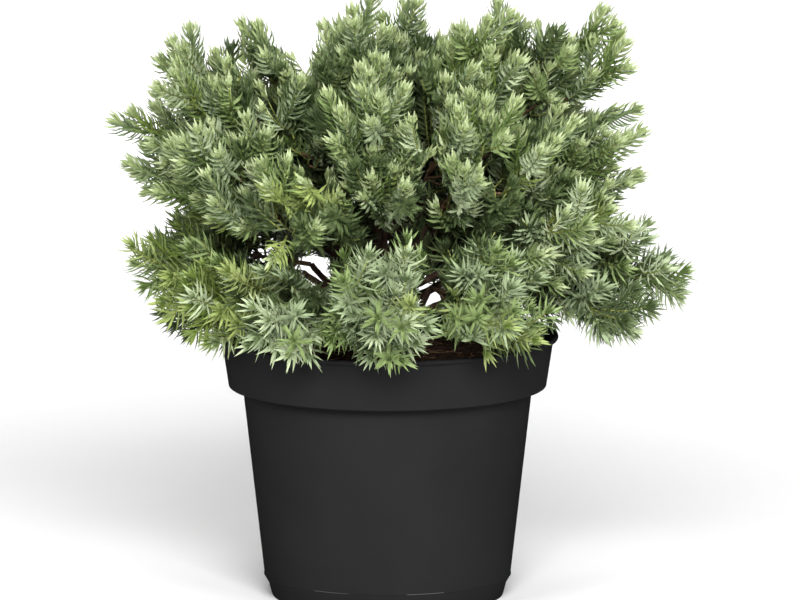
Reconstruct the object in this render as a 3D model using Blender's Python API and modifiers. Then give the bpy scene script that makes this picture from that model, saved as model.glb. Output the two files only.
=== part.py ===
"""Potted blue star juniper: a low, bushy dwarf conifer in a round black plastic nursery pot.

Metres, +Z up, with -Y to the front. The origin is the centre of the pot's flat underside.
The crown grows from one fork point: every mass of foliage has a bearing, a climb and a reach from it,
and keeps to the space that lies nearer to its own middle than to any other mass's middle.
"""

import math
import random
from collections import namedtuple

import bmesh
import bpy
from mathutils import Matrix, Vector
from mathutils.geometry import intersect_point_line

UP = Vector((0, 0, 1))
GOLDEN_ANGLE = math.radians(137.5)

# Space left between neighbouring pieces, in every direction
CLEARANCE = 0.0003

# Pot: a turned shell of thin plastic with a rolled lip, a deep collar and a narrower foot
POT_HEIGHT = 0.131
POT_SIDES = 34
WALL = 0.0014
FLOOR = 0.002
LIP_RADIUS = 0.085
LIP_ROLL = 0.0018
LIP_ARC = (150, -60)
LIP_STEPS = 4
COLLAR_TOP_RADIUS = 0.0822
COLLAR_FOOT_RADIUS = 0.0791
COLLAR_FOOT_HEIGHT = 0.1054
SHOULDER_STEP = 0.0030
SHOULDER_DROP = 0.0008
BODY_TOP_RADIUS = 0.0719
BODY_TOP_HEIGHT = 0.1036
BODY_FOOT_RADIUS = 0.0613
BODY_FOOT_HEIGHT = 0.010
FOOT_TOP_RADIUS = 0.0593
FOOT_TOP_HEIGHT = 0.0065
FOOT_RADIUS = 0.0574
FOOT_ROUND = 0.0006
DRAIN_HOLES = 6
DRAIN_HOLE_RADIUS = 0.005
DRAIN_CIRCLE_RADIUS = 0.041
DRAIN_HOLE_SIDES = 8

# Peat that fills the pot
SOIL_LEVEL = 0.121
SOIL_EDGE_DROP = 0.0015
SOIL_FLAT_RADIUS = 0.025

# Trunk, from its flat foot on the peat to its tip inside the crown
TRUNK_FOOT = Vector((0.002, 0.001, SOIL_LEVEL + CLEARANCE))
TRUNK_TIP = Vector((-0.003, 0.002, 0.192))
TRUNK_BEND = 0.003
TRUNK_FOOT_RADIUS = 0.0062
TRUNK_TIP_RADIUS = 0.0026
FLARE = 0.0036
FLARE_HEIGHT = 0.006
TRUNK_STATIONS = (0, 0.05, 0.12, 0.25, 0.45, 0.65, 0.85, 1)
TRUNK_ROUNDNESS = 2

# Boughs, one to a mass, in whorls up the trunk
BOUGH_ROOT_RADII = (0.0026, 0.0021, 0.0018)
BOUGH_TIP_RADIUS = 0.0013
BOUGH_SHARE = 0.34
BOUGH_STATIONS = 4
BOUGH_ROUNDNESS = 1
LOWEST_WHORL = 0.1305
WHORL_STEP = 0.0066
WHORLS_IN_TIER = 3
FIRST_BEARING = 90
CLOSE_BEARING = 60
LOW_TIER_CLIMB = 12
MIDDLE_TIER_CLIMB = 47
KNEE_OUT = 0.65
KNEE_RISE = 0.35

# Crown
CROWN_FORK = Vector((0, 0, 0.160))
CELL_SHARE = 0.72
STEM_SHARE = 0.74
STEM_RADIUS = 0.0012
STEM_END_ROOM = 0.3
TWIG_RADIUS = 0.0009
TWIG_TIP_RADIUS = 0.0006
TWIG_SIDES = 3
TWIG_JOIN_SLOPE = 1.1
LOWEST_JOIN = 0.05
HIGHEST_JOIN = 0.03
SPREAD = 0.040
TURN_JITTER = 0.25
EDGE_DROP = 0.16
EDGE_DROP_RANGE = (0.3, 1.3)
FAN_OUT = 0.45
SPRAY_LENGTH = 0.038
SPRAY_SINK = 0.003
SPRAY_SPOTS = (0, 0.25, 0.5, 0.75, 1)
TRIES = 10
TRY_PULL = 0.88

# Core of a mass, which its sprays stand out of
CORE_SHARE = 0.60
CORE_LENGTH_SHARE = 0.44
CORE_WIDTH = 0.044
CORE_SIDES = 6
CORE_BANDS = 4
CORE_MARGIN = 0.0035
CORE_NEEDLE = 0.011

# Sprays: a slim spindle that needles stand out of
SPINDLE_RADIUS = 0.0028
SPINDLE_SIDES = 4
SPINDLE_BANDS = 5
SPINDLE_TWIST = math.radians(80)
SPINDLE_MARGIN = 0.0034
NEEDLE_LENGTH = 0.0115
NEEDLE_LEAN_ROOT = math.radians(32)
NEEDLE_LEAN_TIP = math.radians(58)
SHORTEST_NEEDLE = 0.4
LIMB_MARGIN = 0.0012

# Openings where the sky shows through the crown, along the front view's line of sight
VIEW_CLIMB = math.radians(9)
Window = namedtuple("Window", "x z radius")
WINDOWS = (
    Window(-0.0365, 0.1655, 0.0065),
    Window(-0.062, 0.1705, 0.003),
    Window(0.0215, 0.152, 0.006),
)

# Masses of foliage: bearing in degrees from +X towards +Y, climb in degrees, reach to the furthest tip,
# number of side sprays, how strongly shoots turn up, and how steeply the space under the mass falls
# away outside the pot's lip
Mass = namedtuple("Mass", "name bearing climb reach sprays lift fall")
MASSES = (
    Mass("left_skirt", 187, 4, 0.125, 5, 0.05, 40),
    Mass("left_front_skirt", 211, -3, 0.112, 5, 0.03, 40),
    Mass("rim_tuft", 240, -3, 0.116, 5, 0.00, 40),
    Mass("front_skirt", 268, 0, 0.129, 6, 0.15, 0),
    Mass("front_right_skirt", 299, 0, 0.127, 6, 0.15, 0),
    Mass("right_arm", 353, 2, 0.147, 5, 0.04, 40),
    Mass("back_right_skirt", 31, 3, 0.134, 5, 0.08, 20),
    Mass("back_skirt", 72, 4, 0.131, 5, 0.10, 10),
    Mass("back_left_skirt", 109, 3, 0.134, 5, 0.08, 20),
    Mass("left_back_skirt", 148, 3, 0.132, 5, 0.06, 20),
    Mass("left_wing", 180, 33, 0.149, 5, 0.10, 0),
    Mass("left_front_clump", 211, 33, 0.138, 4, 0.30, 0),
    Mass("front_left_clump", 241, 27, 0.133, 5, 0.25, 0),
    Mass("front_clump", 268, 45, 0.145, 5, 0.45, 0),
    Mass("front_right_clump", 302, 39, 0.139, 5, 0.45, 0),
    Mass("right_wing", 333, 19, 0.128, 5, 0.20, 0),
    Mass("right_shoulder", 354, 38, 0.145, 5, 0.25, 0),
    Mass("back_right_clump", 36, 36, 0.143, 5, 0.30, 0),
    Mass("back_clump", 82, 42, 0.143, 5, 0.35, 0),
    Mass("back_left_clump", 131, 36, 0.146, 5, 0.30, 0),
    Mass("left_crest", 185, 48, 0.158, 5, 0.35, 0),
    Mass("top_left_tuft", 200, 62, 0.144, 4, 0.45, 0),
    Mass("top_front_tuft", 245, 74, 0.142, 4, 0.45, 0),
    Mass("top_right_tuft", 328, 66, 0.143, 4, 0.45, 0),
    Mass("right_crest", 2, 51, 0.169, 5, 0.30, 0),
    Mass("back_right_crest", 26, 60, 0.143, 4, 0.40, 0),
    Mass("back_left_crest", 114, 64, 0.132, 4, 0.40, 0),
    Mass("crown_tip", 50, 84, 0.134, 3, 0.40, 0),
)

Limb = namedtuple("Limb", "start end radius")
Twig = namedtuple("Twig", "start end start_radius end_radius")
Spray = namedtuple("Spray", "root tip")

# Colours of the pieces
PLASTIC_BLACK = (0.018, 0.018, 0.019)
PEAT_BROWN = (0.045, 0.027, 0.017)
BARK_BROWN = (0.115, 0.062, 0.036)
NEEDLE_BLUE_GREEN = (0.20, 0.27, 0.17)


def material(name, colour, roughness):
    made = bpy.data.materials.new(name)
    made.use_nodes = True
    shader = made.node_tree.nodes["Principled BSDF"]
    shader.inputs["Base Color"].default_value = (*colour, 1)
    shader.inputs["Roughness"].default_value = roughness
    shader.inputs["Metallic"].default_value = 0
    return made


def new_collection(name):
    made = bpy.data.collections.new(name)
    bpy.context.scene.collection.children.link(made)
    return made


def new_object(name, data, collection, surface=None):
    made = bpy.data.objects.new(name, data)
    collection.objects.link(made)
    if surface:
        data.materials.append(surface)
    return made


def mesh_from(bm, name):
    mesh = bpy.data.meshes.new(name)
    bm.to_mesh(mesh)
    bm.free()
    return mesh


def set_helper(helper):
    helper.hide_render = True
    helper.display_type = "WIRE"


def arc(centre_r, centre_z, radius, start, end, steps):
    """Points of a turned profile round a centre, from one angle in degrees to another."""
    angles = (math.radians(start + (end - start) * step / steps) for step in range(steps + 1))
    return [(centre_r + radius * math.cos(angle), centre_z + radius * math.sin(angle)) for angle in angles]


def turned(name, profile, collection, surface):
    """A solid of revolution about Z from a profile that starts and ends on the axis."""
    mesh = bpy.data.meshes.new(name)
    edges = [(index, index + 1) for index in range(len(profile) - 1)]
    mesh.from_pydata([(radius, 0, height) for radius, height in profile], edges, [])
    made = new_object(name, mesh, collection, surface)
    screw = made.modifiers.new("Turn", "SCREW")
    screw.steps = POT_SIDES
    screw.render_steps = POT_SIDES
    screw.use_merge_vertices = True
    screw.merge_threshold = 0.00001
    screw.use_smooth_shade = True
    return made


def collar_inner_radius(height):
    slope = (COLLAR_TOP_RADIUS - COLLAR_FOOT_RADIUS) / (POT_HEIGHT - COLLAR_FOOT_HEIGHT)
    return COLLAR_FOOT_RADIUS + slope * (height - COLLAR_FOOT_HEIGHT) - WALL


def inner_wall():
    """The pot's inner side from its floor to under the lip."""
    return [
        (FOOT_RADIUS - WALL, FLOOR),
        (BODY_FOOT_RADIUS - WALL, BODY_FOOT_HEIGHT),
        (BODY_TOP_RADIUS - WALL, BODY_TOP_HEIGHT + WALL),
        (COLLAR_FOOT_RADIUS - WALL, COLLAR_FOOT_HEIGHT + WALL),
        (collar_inner_radius(POT_HEIGHT - 2 * LIP_ROLL), POT_HEIGHT - 2 * LIP_ROLL),
    ]


def pot_profile():
    lip = arc(LIP_RADIUS - LIP_ROLL, POT_HEIGHT - LIP_ROLL, LIP_ROLL, *LIP_ARC, LIP_STEPS)
    return [
        (0, FLOOR),
        *inner_wall(),
        *lip,
        (COLLAR_TOP_RADIUS, POT_HEIGHT - 2.5 * LIP_ROLL),
        (COLLAR_FOOT_RADIUS, COLLAR_FOOT_HEIGHT),
        (COLLAR_FOOT_RADIUS - SHOULDER_STEP, COLLAR_FOOT_HEIGHT - SHOULDER_DROP),
        (BODY_TOP_RADIUS, BODY_TOP_HEIGHT),
        (BODY_FOOT_RADIUS, BODY_FOOT_HEIGHT),
        (FOOT_TOP_RADIUS, FOOT_TOP_HEIGHT),
        (FOOT_RADIUS + FOOT_ROUND, WALL),
        (FOOT_RADIUS, 0),
        (0, 0),
    ]


def add_drain_cutter(index, collection):
    angle = (index + 0.5) * math.tau / DRAIN_HOLES
    bm = bmesh.new()
    bmesh.ops.create_cone(
        bm,
        cap_ends=True,
        segments=DRAIN_HOLE_SIDES,
        radius1=DRAIN_HOLE_RADIUS,
        radius2=DRAIN_HOLE_RADIUS,
        depth=4 * FLOOR,
    )
    cutter = new_object(f"drain_cutter_{index}", mesh_from(bm, "drain_cutter"), collection)
    cutter.location = (
        DRAIN_CIRCLE_RADIUS * math.cos(angle),
        DRAIN_CIRCLE_RADIUS * math.sin(angle),
        FLOOR / 2,
    )
    set_helper(cutter)


def build_pot(plant):
    pot = turned("pot", pot_profile(), plant, material("pot_plastic", PLASTIC_BLACK, 0.5))
    holes = new_collection("drain_holes")
    for index in range(DRAIN_HOLES):
        add_drain_cutter(index, holes)
    cut = pot.modifiers.new("Drain holes", "BOOLEAN")
    cut.operation = "DIFFERENCE"
    cut.operand_type = "COLLECTION"
    cut.collection = holes


def build_soil(plant):
    gap = 2 * CLEARANCE
    wall = [(radius - gap, height + gap) for radius, height in inner_wall()[:-1]]
    edge_height = SOIL_LEVEL - SOIL_EDGE_DROP
    profile = [
        (0, SOIL_LEVEL),
        (SOIL_FLAT_RADIUS, SOIL_LEVEL),
        (collar_inner_radius(edge_height) - gap, edge_height),
        *reversed(wall),
        (0, FLOOR + gap),
    ]
    turned("soil", profile, plant, material("peat", PEAT_BROWN, 0.95))


def trunk_point(share):
    """A point on the trunk's centre line, which rises straight from the foot and bows a little."""
    straight = TRUNK_FOOT.lerp(TRUNK_TIP, share)
    lean = TRUNK_TIP - TRUNK_FOOT
    ease = share * share * (3 - 2 * share) - share
    bow = Vector((-TRUNK_BEND, TRUNK_BEND / 2, 0)) * math.sin(math.pi * share) * share
    return straight + Vector((lean.x, lean.y, 0)) * ease + bow


def trunk_radius(share):
    taper = TRUNK_FOOT_RADIUS + (TRUNK_TIP_RADIUS - TRUNK_FOOT_RADIUS) * share
    rise = share * (TRUNK_TIP.z - TRUNK_FOOT.z)
    return taper + FLARE * math.exp(-rise / FLARE_HEIGHT)


def tube(name, points, radii, collection, resolution):
    """A tapering limb: a curve with a round section that is then made a mesh with welded caps."""
    curve = bpy.data.curves.new(name, "CURVE")
    curve.dimensions = "3D"
    curve.bevel_depth = 1
    curve.bevel_resolution = resolution
    curve.use_fill_caps = True
    spline = curve.splines.new("POLY")
    spline.points.add(len(points) - 1)
    for spot, point, radius in zip(spline.points, points, radii):
        spot.co = (*point, 1)
        spot.radius = radius
    drawn = new_object(name + "_line", curve, collection)
    graph = bpy.context.evaluated_depsgraph_get()
    mesh = bpy.data.meshes.new_from_object(drawn.evaluated_get(graph))
    bpy.data.objects.remove(drawn)
    bm = bmesh.new()
    bm.from_mesh(mesh)
    bmesh.ops.remove_doubles(bm, verts=bm.verts, dist=0.00001)
    bm.to_mesh(mesh)
    bm.free()
    mesh.shade_smooth()
    return new_object(name, mesh, collection)


def build_trunk(plant, cutters, bark):
    """Makes the trunk and returns the slightly wider copy that cuts the boughs' roots."""
    points = [trunk_point(share) for share in TRUNK_STATIONS]
    radii = [trunk_radius(share) for share in TRUNK_STATIONS]
    trunk = tube("trunk", points, radii, plant, TRUNK_ROUNDNESS)
    trunk.data.materials.append(bark)
    wider = [radius + CLEARANCE for radius in radii]
    cutter = tube("trunk_cutter", points, wider, cutters, TRUNK_ROUNDNESS)
    set_helper(cutter)
    return cutter


def heading(bearing, climb):
    """The unit vector at a bearing and a climb in degrees."""
    level = math.cos(math.radians(climb))
    turn = math.radians(bearing)
    return Vector((level * math.cos(turn), level * math.sin(turn), math.sin(math.radians(climb))))


def along(mass, share):
    """The point at a share of the mass's reach from the fork."""
    return CROWN_FORK + heading(mass.bearing, mass.climb) * mass.reach * share


def on_trunk_tip(mass):
    return mass.name == "crown_tip"


def tier(mass):
    return (mass.climb >= LOW_TIER_CLIMB) + (mass.climb >= MIDDLE_TIER_CLIMB)


def whorl_height(mass):
    """Going round the trunk, the boughs of one tier leave it from its three whorls in turn.

    The last bough comes round to the first, and where the two are close it leaves from the next whorl.
    """
    level = [other for other in MASSES if tier(other) == tier(mass) and not on_trunk_tip(other)]
    neighbours = sorted(level, key=lambda other: (other.bearing - FIRST_BEARING) % 360)
    whorl = neighbours.index(mass) % WHORLS_IN_TIER
    to_first = (neighbours[0].bearing - mass.bearing) % 360
    if neighbours[-1] is mass and to_first < CLOSE_BEARING:
        whorl = max(whorl, 1)
    return LOWEST_WHORL + WHORL_STEP * (WHORLS_IN_TIER * tier(mass) + whorl)


def bough_points(mass):
    """A bough's centre line: it leaves the trunk low and turns up towards its mass."""
    height = whorl_height(mass)
    root = trunk_point((height - TRUNK_FOOT.z) / (TRUNK_TIP.z - TRUNK_FOOT.z))
    tip = along(mass, BOUGH_SHARE)
    way = tip - root
    knee = root + Vector((way.x * KNEE_OUT, way.y * KNEE_OUT, way.z * KNEE_RISE))
    shares = [step / (BOUGH_STATIONS - 1) for step in range(BOUGH_STATIONS)]
    return [root * (1 - s) ** 2 + knee * 2 * s * (1 - s) + tip * s * s for s in shares]


def bough_radii(mass):
    root = BOUGH_ROOT_RADII[tier(mass)]
    taper = (BOUGH_TIP_RADIUS - root) / (BOUGH_STATIONS - 1)
    return [root + taper * step for step in range(BOUGH_STATIONS)]


def build_bough(mass, plant, trunk_cutter, bark):
    bough = tube(mass.name + "_bough", bough_points(mass), bough_radii(mass), plant, BOUGH_ROUNDNESS)
    bough.data.materials.append(bark)
    cut = bough.modifiers.new("Root on the trunk", "BOOLEAN")
    cut.operation = "DIFFERENCE"
    cut.object = trunk_cutter


def limb_segments():
    """Every limb as short round segments, for keeping twigs clear of them."""
    points = [trunk_point(share) for share in TRUNK_STATIONS]
    radii = [trunk_radius(share) for share in TRUNK_STATIONS]
    limbs = [Limb(*limb) for limb in zip(points, points[1:], radii)]
    for mass in MASSES:
        if not on_trunk_tip(mass):
            points = bough_points(mass)
            limbs += [Limb(*limb) for limb in zip(points, points[1:], bough_radii(mass))]
    return limbs


def cell_planes(mass):
    """The flat sides of a mass's space: one against each other mass, and one over the pot.

    Each is the side's outward normal and its distance from the origin along that normal.
    """
    own = along(mass, CELL_SHARE)
    planes = []
    for other in MASSES:
        if other is mass:
            continue
        across = along(other, CELL_SHARE) - own
        middle = own + across / 2
        normal = across.normalized()
        planes.append((normal, middle.dot(normal) - CLEARANCE))
    down = -heading(mass.bearing, 90 - mass.fall)
    outward = heading(mass.bearing, 0)
    lip = outward * LIP_RADIUS + UP * (POT_HEIGHT + 2 * CLEARANCE)
    planes.append((down, lip.dot(down)))
    return planes


def inside(point, planes, margin=0):
    return all(point.dot(normal) <= distance - margin for normal, distance in planes)


def fitting_share(start, end, planes):
    """How much of the way from start to end stays inside the planes."""
    share = 1.0
    for normal, distance in planes:
        rise = (end - start).dot(normal)
        if rise > 0:
            share = min(share, (distance - start.dot(normal)) / rise)
    return share


def clear_of_limbs(point, limbs, margin):
    for start, end, radius in limbs:
        _, share = intersect_point_line(point, start, end)
        nearest = start.lerp(end, min(1, max(0, share)))
        if (point - nearest).length < radius + margin:
            return False
    return True


def clear_of_windows(point, margin):
    """Whether a point stays off the lines of sight that open the crown."""
    sight = Vector((0, math.cos(VIEW_CLIMB), -math.sin(VIEW_CLIMB)))
    for window in WINDOWS:
        off = point - Vector((window.x, 0, window.z))
        if (off - sight * off.dot(sight)).length < window.radius + margin:
            return False
    return True


def spray_fits(root, tip, planes, limbs):
    spots = [root.lerp(tip, share) for share in SPRAY_SPOTS]
    return all(
        inside(spot, planes, SPINDLE_MARGIN)
        and clear_of_limbs(spot, limbs, SPINDLE_MARGIN + LIMB_MARGIN)
        and clear_of_windows(spot, SPINDLE_MARGIN)
        for spot in spots
    )


def spray_of(mass, offset, turn, reach):
    """A spray whose tip stands off the mass's middle line by an offset, at a turn round that line."""
    ahead = heading(mass.bearing, mass.climb)
    across = ahead.orthogonal().normalized()
    side = across * math.cos(turn) + ahead.cross(across) * math.sin(turn)
    outward = (ahead + side * offset / mass.reach).normalized()
    tip = CROWN_FORK + outward * reach
    way = (outward + side * FAN_OUT * offset / SPREAD + UP * mass.lift).normalized()
    return Spray(tip - way * SPRAY_LENGTH, tip)


def stem_join(mass, root):
    """Where on the stem the twig of a spray leaves it: below the spray's root, by as much as it stands off."""
    ahead = heading(mass.bearing, mass.climb)
    rise = (root - CROWN_FORK).dot(ahead)
    offset = (root - CROWN_FORK - ahead * rise).length
    lowest = mass.reach * (BOUGH_SHARE + LOWEST_JOIN)
    highest = mass.reach * (STEM_SHARE - HIGHEST_JOIN)
    return CROWN_FORK + ahead * min(highest, max(lowest, rise - TWIG_JOIN_SLOPE * offset))


def grow(mass, limbs):
    """The twigs and sprays of one mass: a stem that ends in a spray, with side twigs that each carry one.

    The tips are spread over the mass's outer face like the seeds of a flower head.
    """
    rng = random.Random(mass.name)
    planes = cell_planes(mass)
    base = trunk_point(1) if on_trunk_tip(mass) else along(mass, BOUGH_SHARE)
    end = along(mass, STEM_SHARE)
    ahead = (end - base).normalized()
    start = base + ahead * (CLEARANCE + STEM_RADIUS * STEM_END_ROOM)
    twigs = [Twig(start, end, STEM_RADIUS, TWIG_RADIUS)]
    sprays = [Spray(end - ahead * SPRAY_SINK, along(mass, 1))]
    first_turn = rng.uniform(0, math.tau)
    for index in range(1, mass.sprays):
        share = index / (mass.sprays - 1)
        turn = first_turn + index * GOLDEN_ANGLE + rng.uniform(-TURN_JITTER, TURN_JITTER)
        reach = mass.reach * (1 - EDGE_DROP * share * rng.uniform(*EDGE_DROP_RANGE))
        offset = SPREAD * math.sqrt(share)
        for attempt in range(TRIES):
            spray = spray_of(mass, offset * TRY_PULL**attempt, turn, reach)
            if spray_fits(*spray, planes, limbs):
                way = (spray.tip - spray.root).normalized()
                twigs.append(Twig(stem_join(mass, spray.root), spray.root, TWIG_RADIUS, TWIG_TIP_RADIUS))
                sprays.append(Spray(spray.root - way * SPRAY_SINK, spray.tip))
                break
    return twigs, sprays, planes


def add_twig(twig, collection):
    bm = bmesh.new()
    way = twig.end - twig.start
    place = way.to_track_quat("Z", "Y").to_matrix().to_4x4()
    place.translation = twig.start + way / 2
    bmesh.ops.create_cone(
        bm,
        cap_ends=True,
        segments=TWIG_SIDES,
        radius1=twig.start_radius,
        radius2=twig.end_radius,
        depth=way.length,
        matrix=place,
    )
    new_object("twig", mesh_from(bm, "twig"), collection)


def twisted_spindle(length, spin):
    """A slim spindle on Z from 0 to its length, its sides wound round it a little."""
    bm = bmesh.new()
    bmesh.ops.create_uvsphere(bm, u_segments=SPINDLE_SIDES, v_segments=SPINDLE_BANDS, radius=1)
    for vertex in bm.verts:
        turn = Matrix.Rotation(spin + SPINDLE_TWIST * vertex.co.z, 3, "Z")
        vertex.co = turn @ vertex.co
    bmesh.ops.scale(bm, verts=bm.verts, vec=(SPINDLE_RADIUS, SPINDLE_RADIUS, length / 2))
    bmesh.ops.translate(bm, verts=bm.verts, vec=(0, 0, length / 2))
    return bm


def draw_out(vertex, needle, planes, limbs):
    """Moves a face's middle out into a needle's tip, shortened to stay in the mass's space, or leaves it."""
    fit = fitting_share(vertex.co, vertex.co + needle, planes)
    point = vertex.co + needle * fit
    if fit > SHORTEST_NEEDLE and clear_of_limbs(point, limbs, LIMB_MARGIN) and clear_of_windows(point, 0):
        vertex.co = point


def middles_of_bands(bm):
    """A new vertex in the middle of each four-sided face, with the face split round it."""
    bands = [face for face in bm.faces if len(face.verts) == 4]
    return bmesh.ops.poke(bm, faces=bands)["verts"]


def add_spray(spray, planes, limbs, spin, collection):
    """A spindle whose faces are drawn out into needles."""
    way = spray.tip - spray.root
    length = way.length
    ahead = way.normalized()
    place = way.to_track_quat("Z", "Y").to_matrix().to_4x4()
    place.translation = spray.root
    bm = twisted_spindle(length, spin)
    bmesh.ops.transform(bm, verts=bm.verts, matrix=place)
    for vertex in middles_of_bands(bm):
        share = (vertex.co - spray.root).dot(ahead) / length
        outward = (vertex.co - spray.root - ahead * share * length).normalized()
        lean = NEEDLE_LEAN_ROOT + (NEEDLE_LEAN_TIP - NEEDLE_LEAN_ROOT) * share
        needle = (outward * math.cos(lean) + ahead * math.sin(lean)) * NEEDLE_LENGTH
        draw_out(vertex, needle, planes, limbs)
    new_object("spray", mesh_from(bm, "spray"), collection)


def core_point(point, centre, planes, limbs):
    """A point of the core, drawn in towards its centre until it is well inside the mass's space."""
    outward = point - centre
    beyond = point + outward.normalized() * CORE_MARGIN
    point = centre + outward * min(1, fitting_share(centre, beyond, planes))
    for _ in range(TRIES):
        if clear_of_limbs(point, limbs, CORE_MARGIN) and clear_of_windows(point, CORE_MARGIN / 2):
            break
        point = centre + (point - centre) * TRY_PULL
    return point


def add_core(mass, planes, limbs, collection):
    """The dense inside of a mass: a faceted body along its middle line with short needles on it."""
    centre = along(mass, CORE_SHARE)
    ahead = heading(mass.bearing, mass.climb)
    place = ahead.to_track_quat("Z", "Y").to_matrix().to_4x4()
    place.translation = centre
    bm = bmesh.new()
    bmesh.ops.create_uvsphere(bm, u_segments=CORE_SIDES, v_segments=CORE_BANDS, radius=1)
    size = (CORE_WIDTH / 2, CORE_WIDTH / 2, mass.reach * CORE_LENGTH_SHARE / 2)
    bmesh.ops.scale(bm, verts=bm.verts, vec=size)
    bmesh.ops.transform(bm, verts=bm.verts, matrix=place)
    for vertex in bm.verts:
        vertex.co = core_point(vertex.co, centre, planes, limbs)
    for vertex in middles_of_bands(bm):
        needle = (vertex.co - centre).normalized() * CORE_NEEDLE
        draw_out(vertex, needle, planes, limbs)
    new_object("core", mesh_from(bm, "core"), collection)


def linked_faces(seed):
    """The faces of one closed shell, found from one of them."""
    found = {seed}
    front = [seed]
    while front:
        face = front.pop()
        for edge in face.edges:
            for neighbour in edge.link_faces:
                if neighbour not in found:
                    found.add(neighbour)
                    front.append(neighbour)
    return found


def keep_outer_shell(mesh):
    """Fills hollows that fusing sealed and drops loose scraps: only the largest shell stays."""
    bm = bmesh.new()
    bm.from_mesh(mesh)
    left = set(bm.faces)
    shells = []
    while left:
        shell = linked_faces(next(iter(left)))
        left -= shell
        shells.append(shell)
    shells.sort(key=len)
    spare = [face for shell in shells[:-1] for face in shell]
    bmesh.ops.delete(bm, geom=spare, context="FACES")
    bm.to_mesh(mesh)
    bm.free()


def fuse(name, group, collection, surface):
    """One solid from a collection of overlapping pieces, which is then removed."""
    parts = list(group.objects)
    base = parts[0]
    group.objects.unlink(base)
    collection.objects.link(base)
    base.name = name
    join = base.modifiers.new("Fuse", "BOOLEAN")
    join.operation = "UNION"
    join.operand_type = "COLLECTION"
    join.collection = group
    graph = bpy.context.evaluated_depsgraph_get()
    fused = bpy.data.meshes.new_from_object(base.evaluated_get(graph))
    keep_outer_shell(fused)
    base.modifiers.clear()
    base.data = fused
    fused.name = name
    fused.materials.clear()
    fused.materials.append(surface)
    for part in parts[1:]:
        bpy.data.objects.remove(part)
    bpy.data.collections.remove(group)


def build_mass(mass, plant, limbs, foliage):
    twigs, sprays, planes = grow(mass, limbs)
    pieces = new_collection(mass.name + "_pieces")
    add_core(mass, planes, limbs, pieces)
    for twig in twigs:
        add_twig(twig, pieces)
    for index, spray in enumerate(sprays):
        add_spray(spray, planes, limbs, index * GOLDEN_ANGLE, pieces)
    fuse(mass.name, pieces, plant, foliage)


def build():
    for old in list(bpy.data.objects):
        bpy.data.objects.remove(old)
    plant = new_collection("potted_blue_star_juniper")
    cutters = new_collection("cutters")
    bark = material("bark", BARK_BROWN, 0.85)
    foliage = material("needles", NEEDLE_BLUE_GREEN, 0.6)
    build_pot(plant)
    build_soil(plant)
    trunk_cutter = build_trunk(plant, cutters, bark)
    limbs = limb_segments()
    for mass in MASSES:
        if not on_trunk_tip(mass):
            build_bough(mass, plant, trunk_cutter, bark)
        build_mass(mass, plant, limbs, foliage)


build()
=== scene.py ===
"""Looks of the potted blue star juniper: needles, twigs, bark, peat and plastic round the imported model.

Metres, +Z up, -Y to the front, origin at the centre of the pot's underside, as in the source.
The crown grows by the source's rule, which is written again here with the same values and seeds, and is
then carried on to side shoots and needles.
"""

import math
import random
from collections import namedtuple
from functools import cache

import bmesh
import bpy
import numpy as np
from mathutils import Matrix, Vector, noise
from mathutils.geometry import intersect_point_line


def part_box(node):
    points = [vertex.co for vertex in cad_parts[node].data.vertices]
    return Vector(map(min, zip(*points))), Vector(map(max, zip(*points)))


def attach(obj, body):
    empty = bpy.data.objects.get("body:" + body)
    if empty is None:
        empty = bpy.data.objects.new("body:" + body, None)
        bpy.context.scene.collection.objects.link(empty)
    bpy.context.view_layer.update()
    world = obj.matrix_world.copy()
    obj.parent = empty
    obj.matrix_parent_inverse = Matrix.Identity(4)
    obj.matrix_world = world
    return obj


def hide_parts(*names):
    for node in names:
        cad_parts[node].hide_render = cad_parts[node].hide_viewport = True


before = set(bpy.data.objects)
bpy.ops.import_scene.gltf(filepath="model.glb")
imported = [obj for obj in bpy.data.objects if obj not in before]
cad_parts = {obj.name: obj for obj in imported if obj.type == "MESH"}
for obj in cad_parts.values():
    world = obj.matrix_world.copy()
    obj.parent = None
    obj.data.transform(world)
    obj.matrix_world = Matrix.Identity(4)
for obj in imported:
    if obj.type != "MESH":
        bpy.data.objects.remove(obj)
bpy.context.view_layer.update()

UP = Vector((0, 0, 1))
GOLDEN_ANGLE = math.radians(137.5)
CLEARANCE = 0.0003
NEARLY_UPRIGHT = 0.01

# Pot, from its node's box and the profile of the source, with a thinner roll on the lip and a fine
# raised line round the body's foot, whose upper side carries a pale painted highlight along some arcs of
# bearing in degrees
POT_LOW, POT_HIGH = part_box("pot")
POT_HEIGHT = POT_HIGH.z
LIP_RADIUS = (POT_HIGH.x - POT_LOW.x) / 2
POT_SIDES = 160
POT_WELD = 0.00002
SHARP_EDGE = math.radians(32)
WALL = 0.0014
FLOOR = 0.002
LIP_ROLL = 0.0011
LIP_ARC = (150, -60)
LIP_STEPS = 12
UNDER_LIP = 2.5 * LIP_ROLL
COLLAR_TOP_RADIUS = 0.0825
COLLAR_FOOT_RADIUS = 0.0791
COLLAR_FOOT_HEIGHT = 0.1054
COLLAR_EDGE_ROUND = 0.0007
COLLAR_EDGE_ARC = (0, -80)
COLLAR_EDGE_STEPS = 5
SHOULDER_STEP = 0.0030
SHOULDER_DROP = 0.0008
BODY_TOP_RADIUS = 0.0719
BODY_TOP_HEIGHT = 0.1036
BODY_FOOT_RADIUS = 0.0613
BODY_FOOT_HEIGHT = 0.010
FOOT_TOP_RADIUS = 0.0593
FOOT_TOP_HEIGHT = 0.0065
FOOT_RADIUS = 0.0574
FOOT_ROUND = 0.0006
MOULD_LINE = 0.0003
MOULD_LINE_HEIGHT = 0.0104
# Arcs of bearing along which the raised line's upper side is painted pale as a highlight
HIGHLIGHT_ARCS = ((20, 41), (96, 124), (166, 175), (235, 253), (278, 298))
DRAIN_HOLES = 6
DRAIN_HOLE_RADIUS = 0.005
DRAIN_CIRCLE_RADIUS = 0.041
DRAIN_HOLE_SIDES = 28
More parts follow.
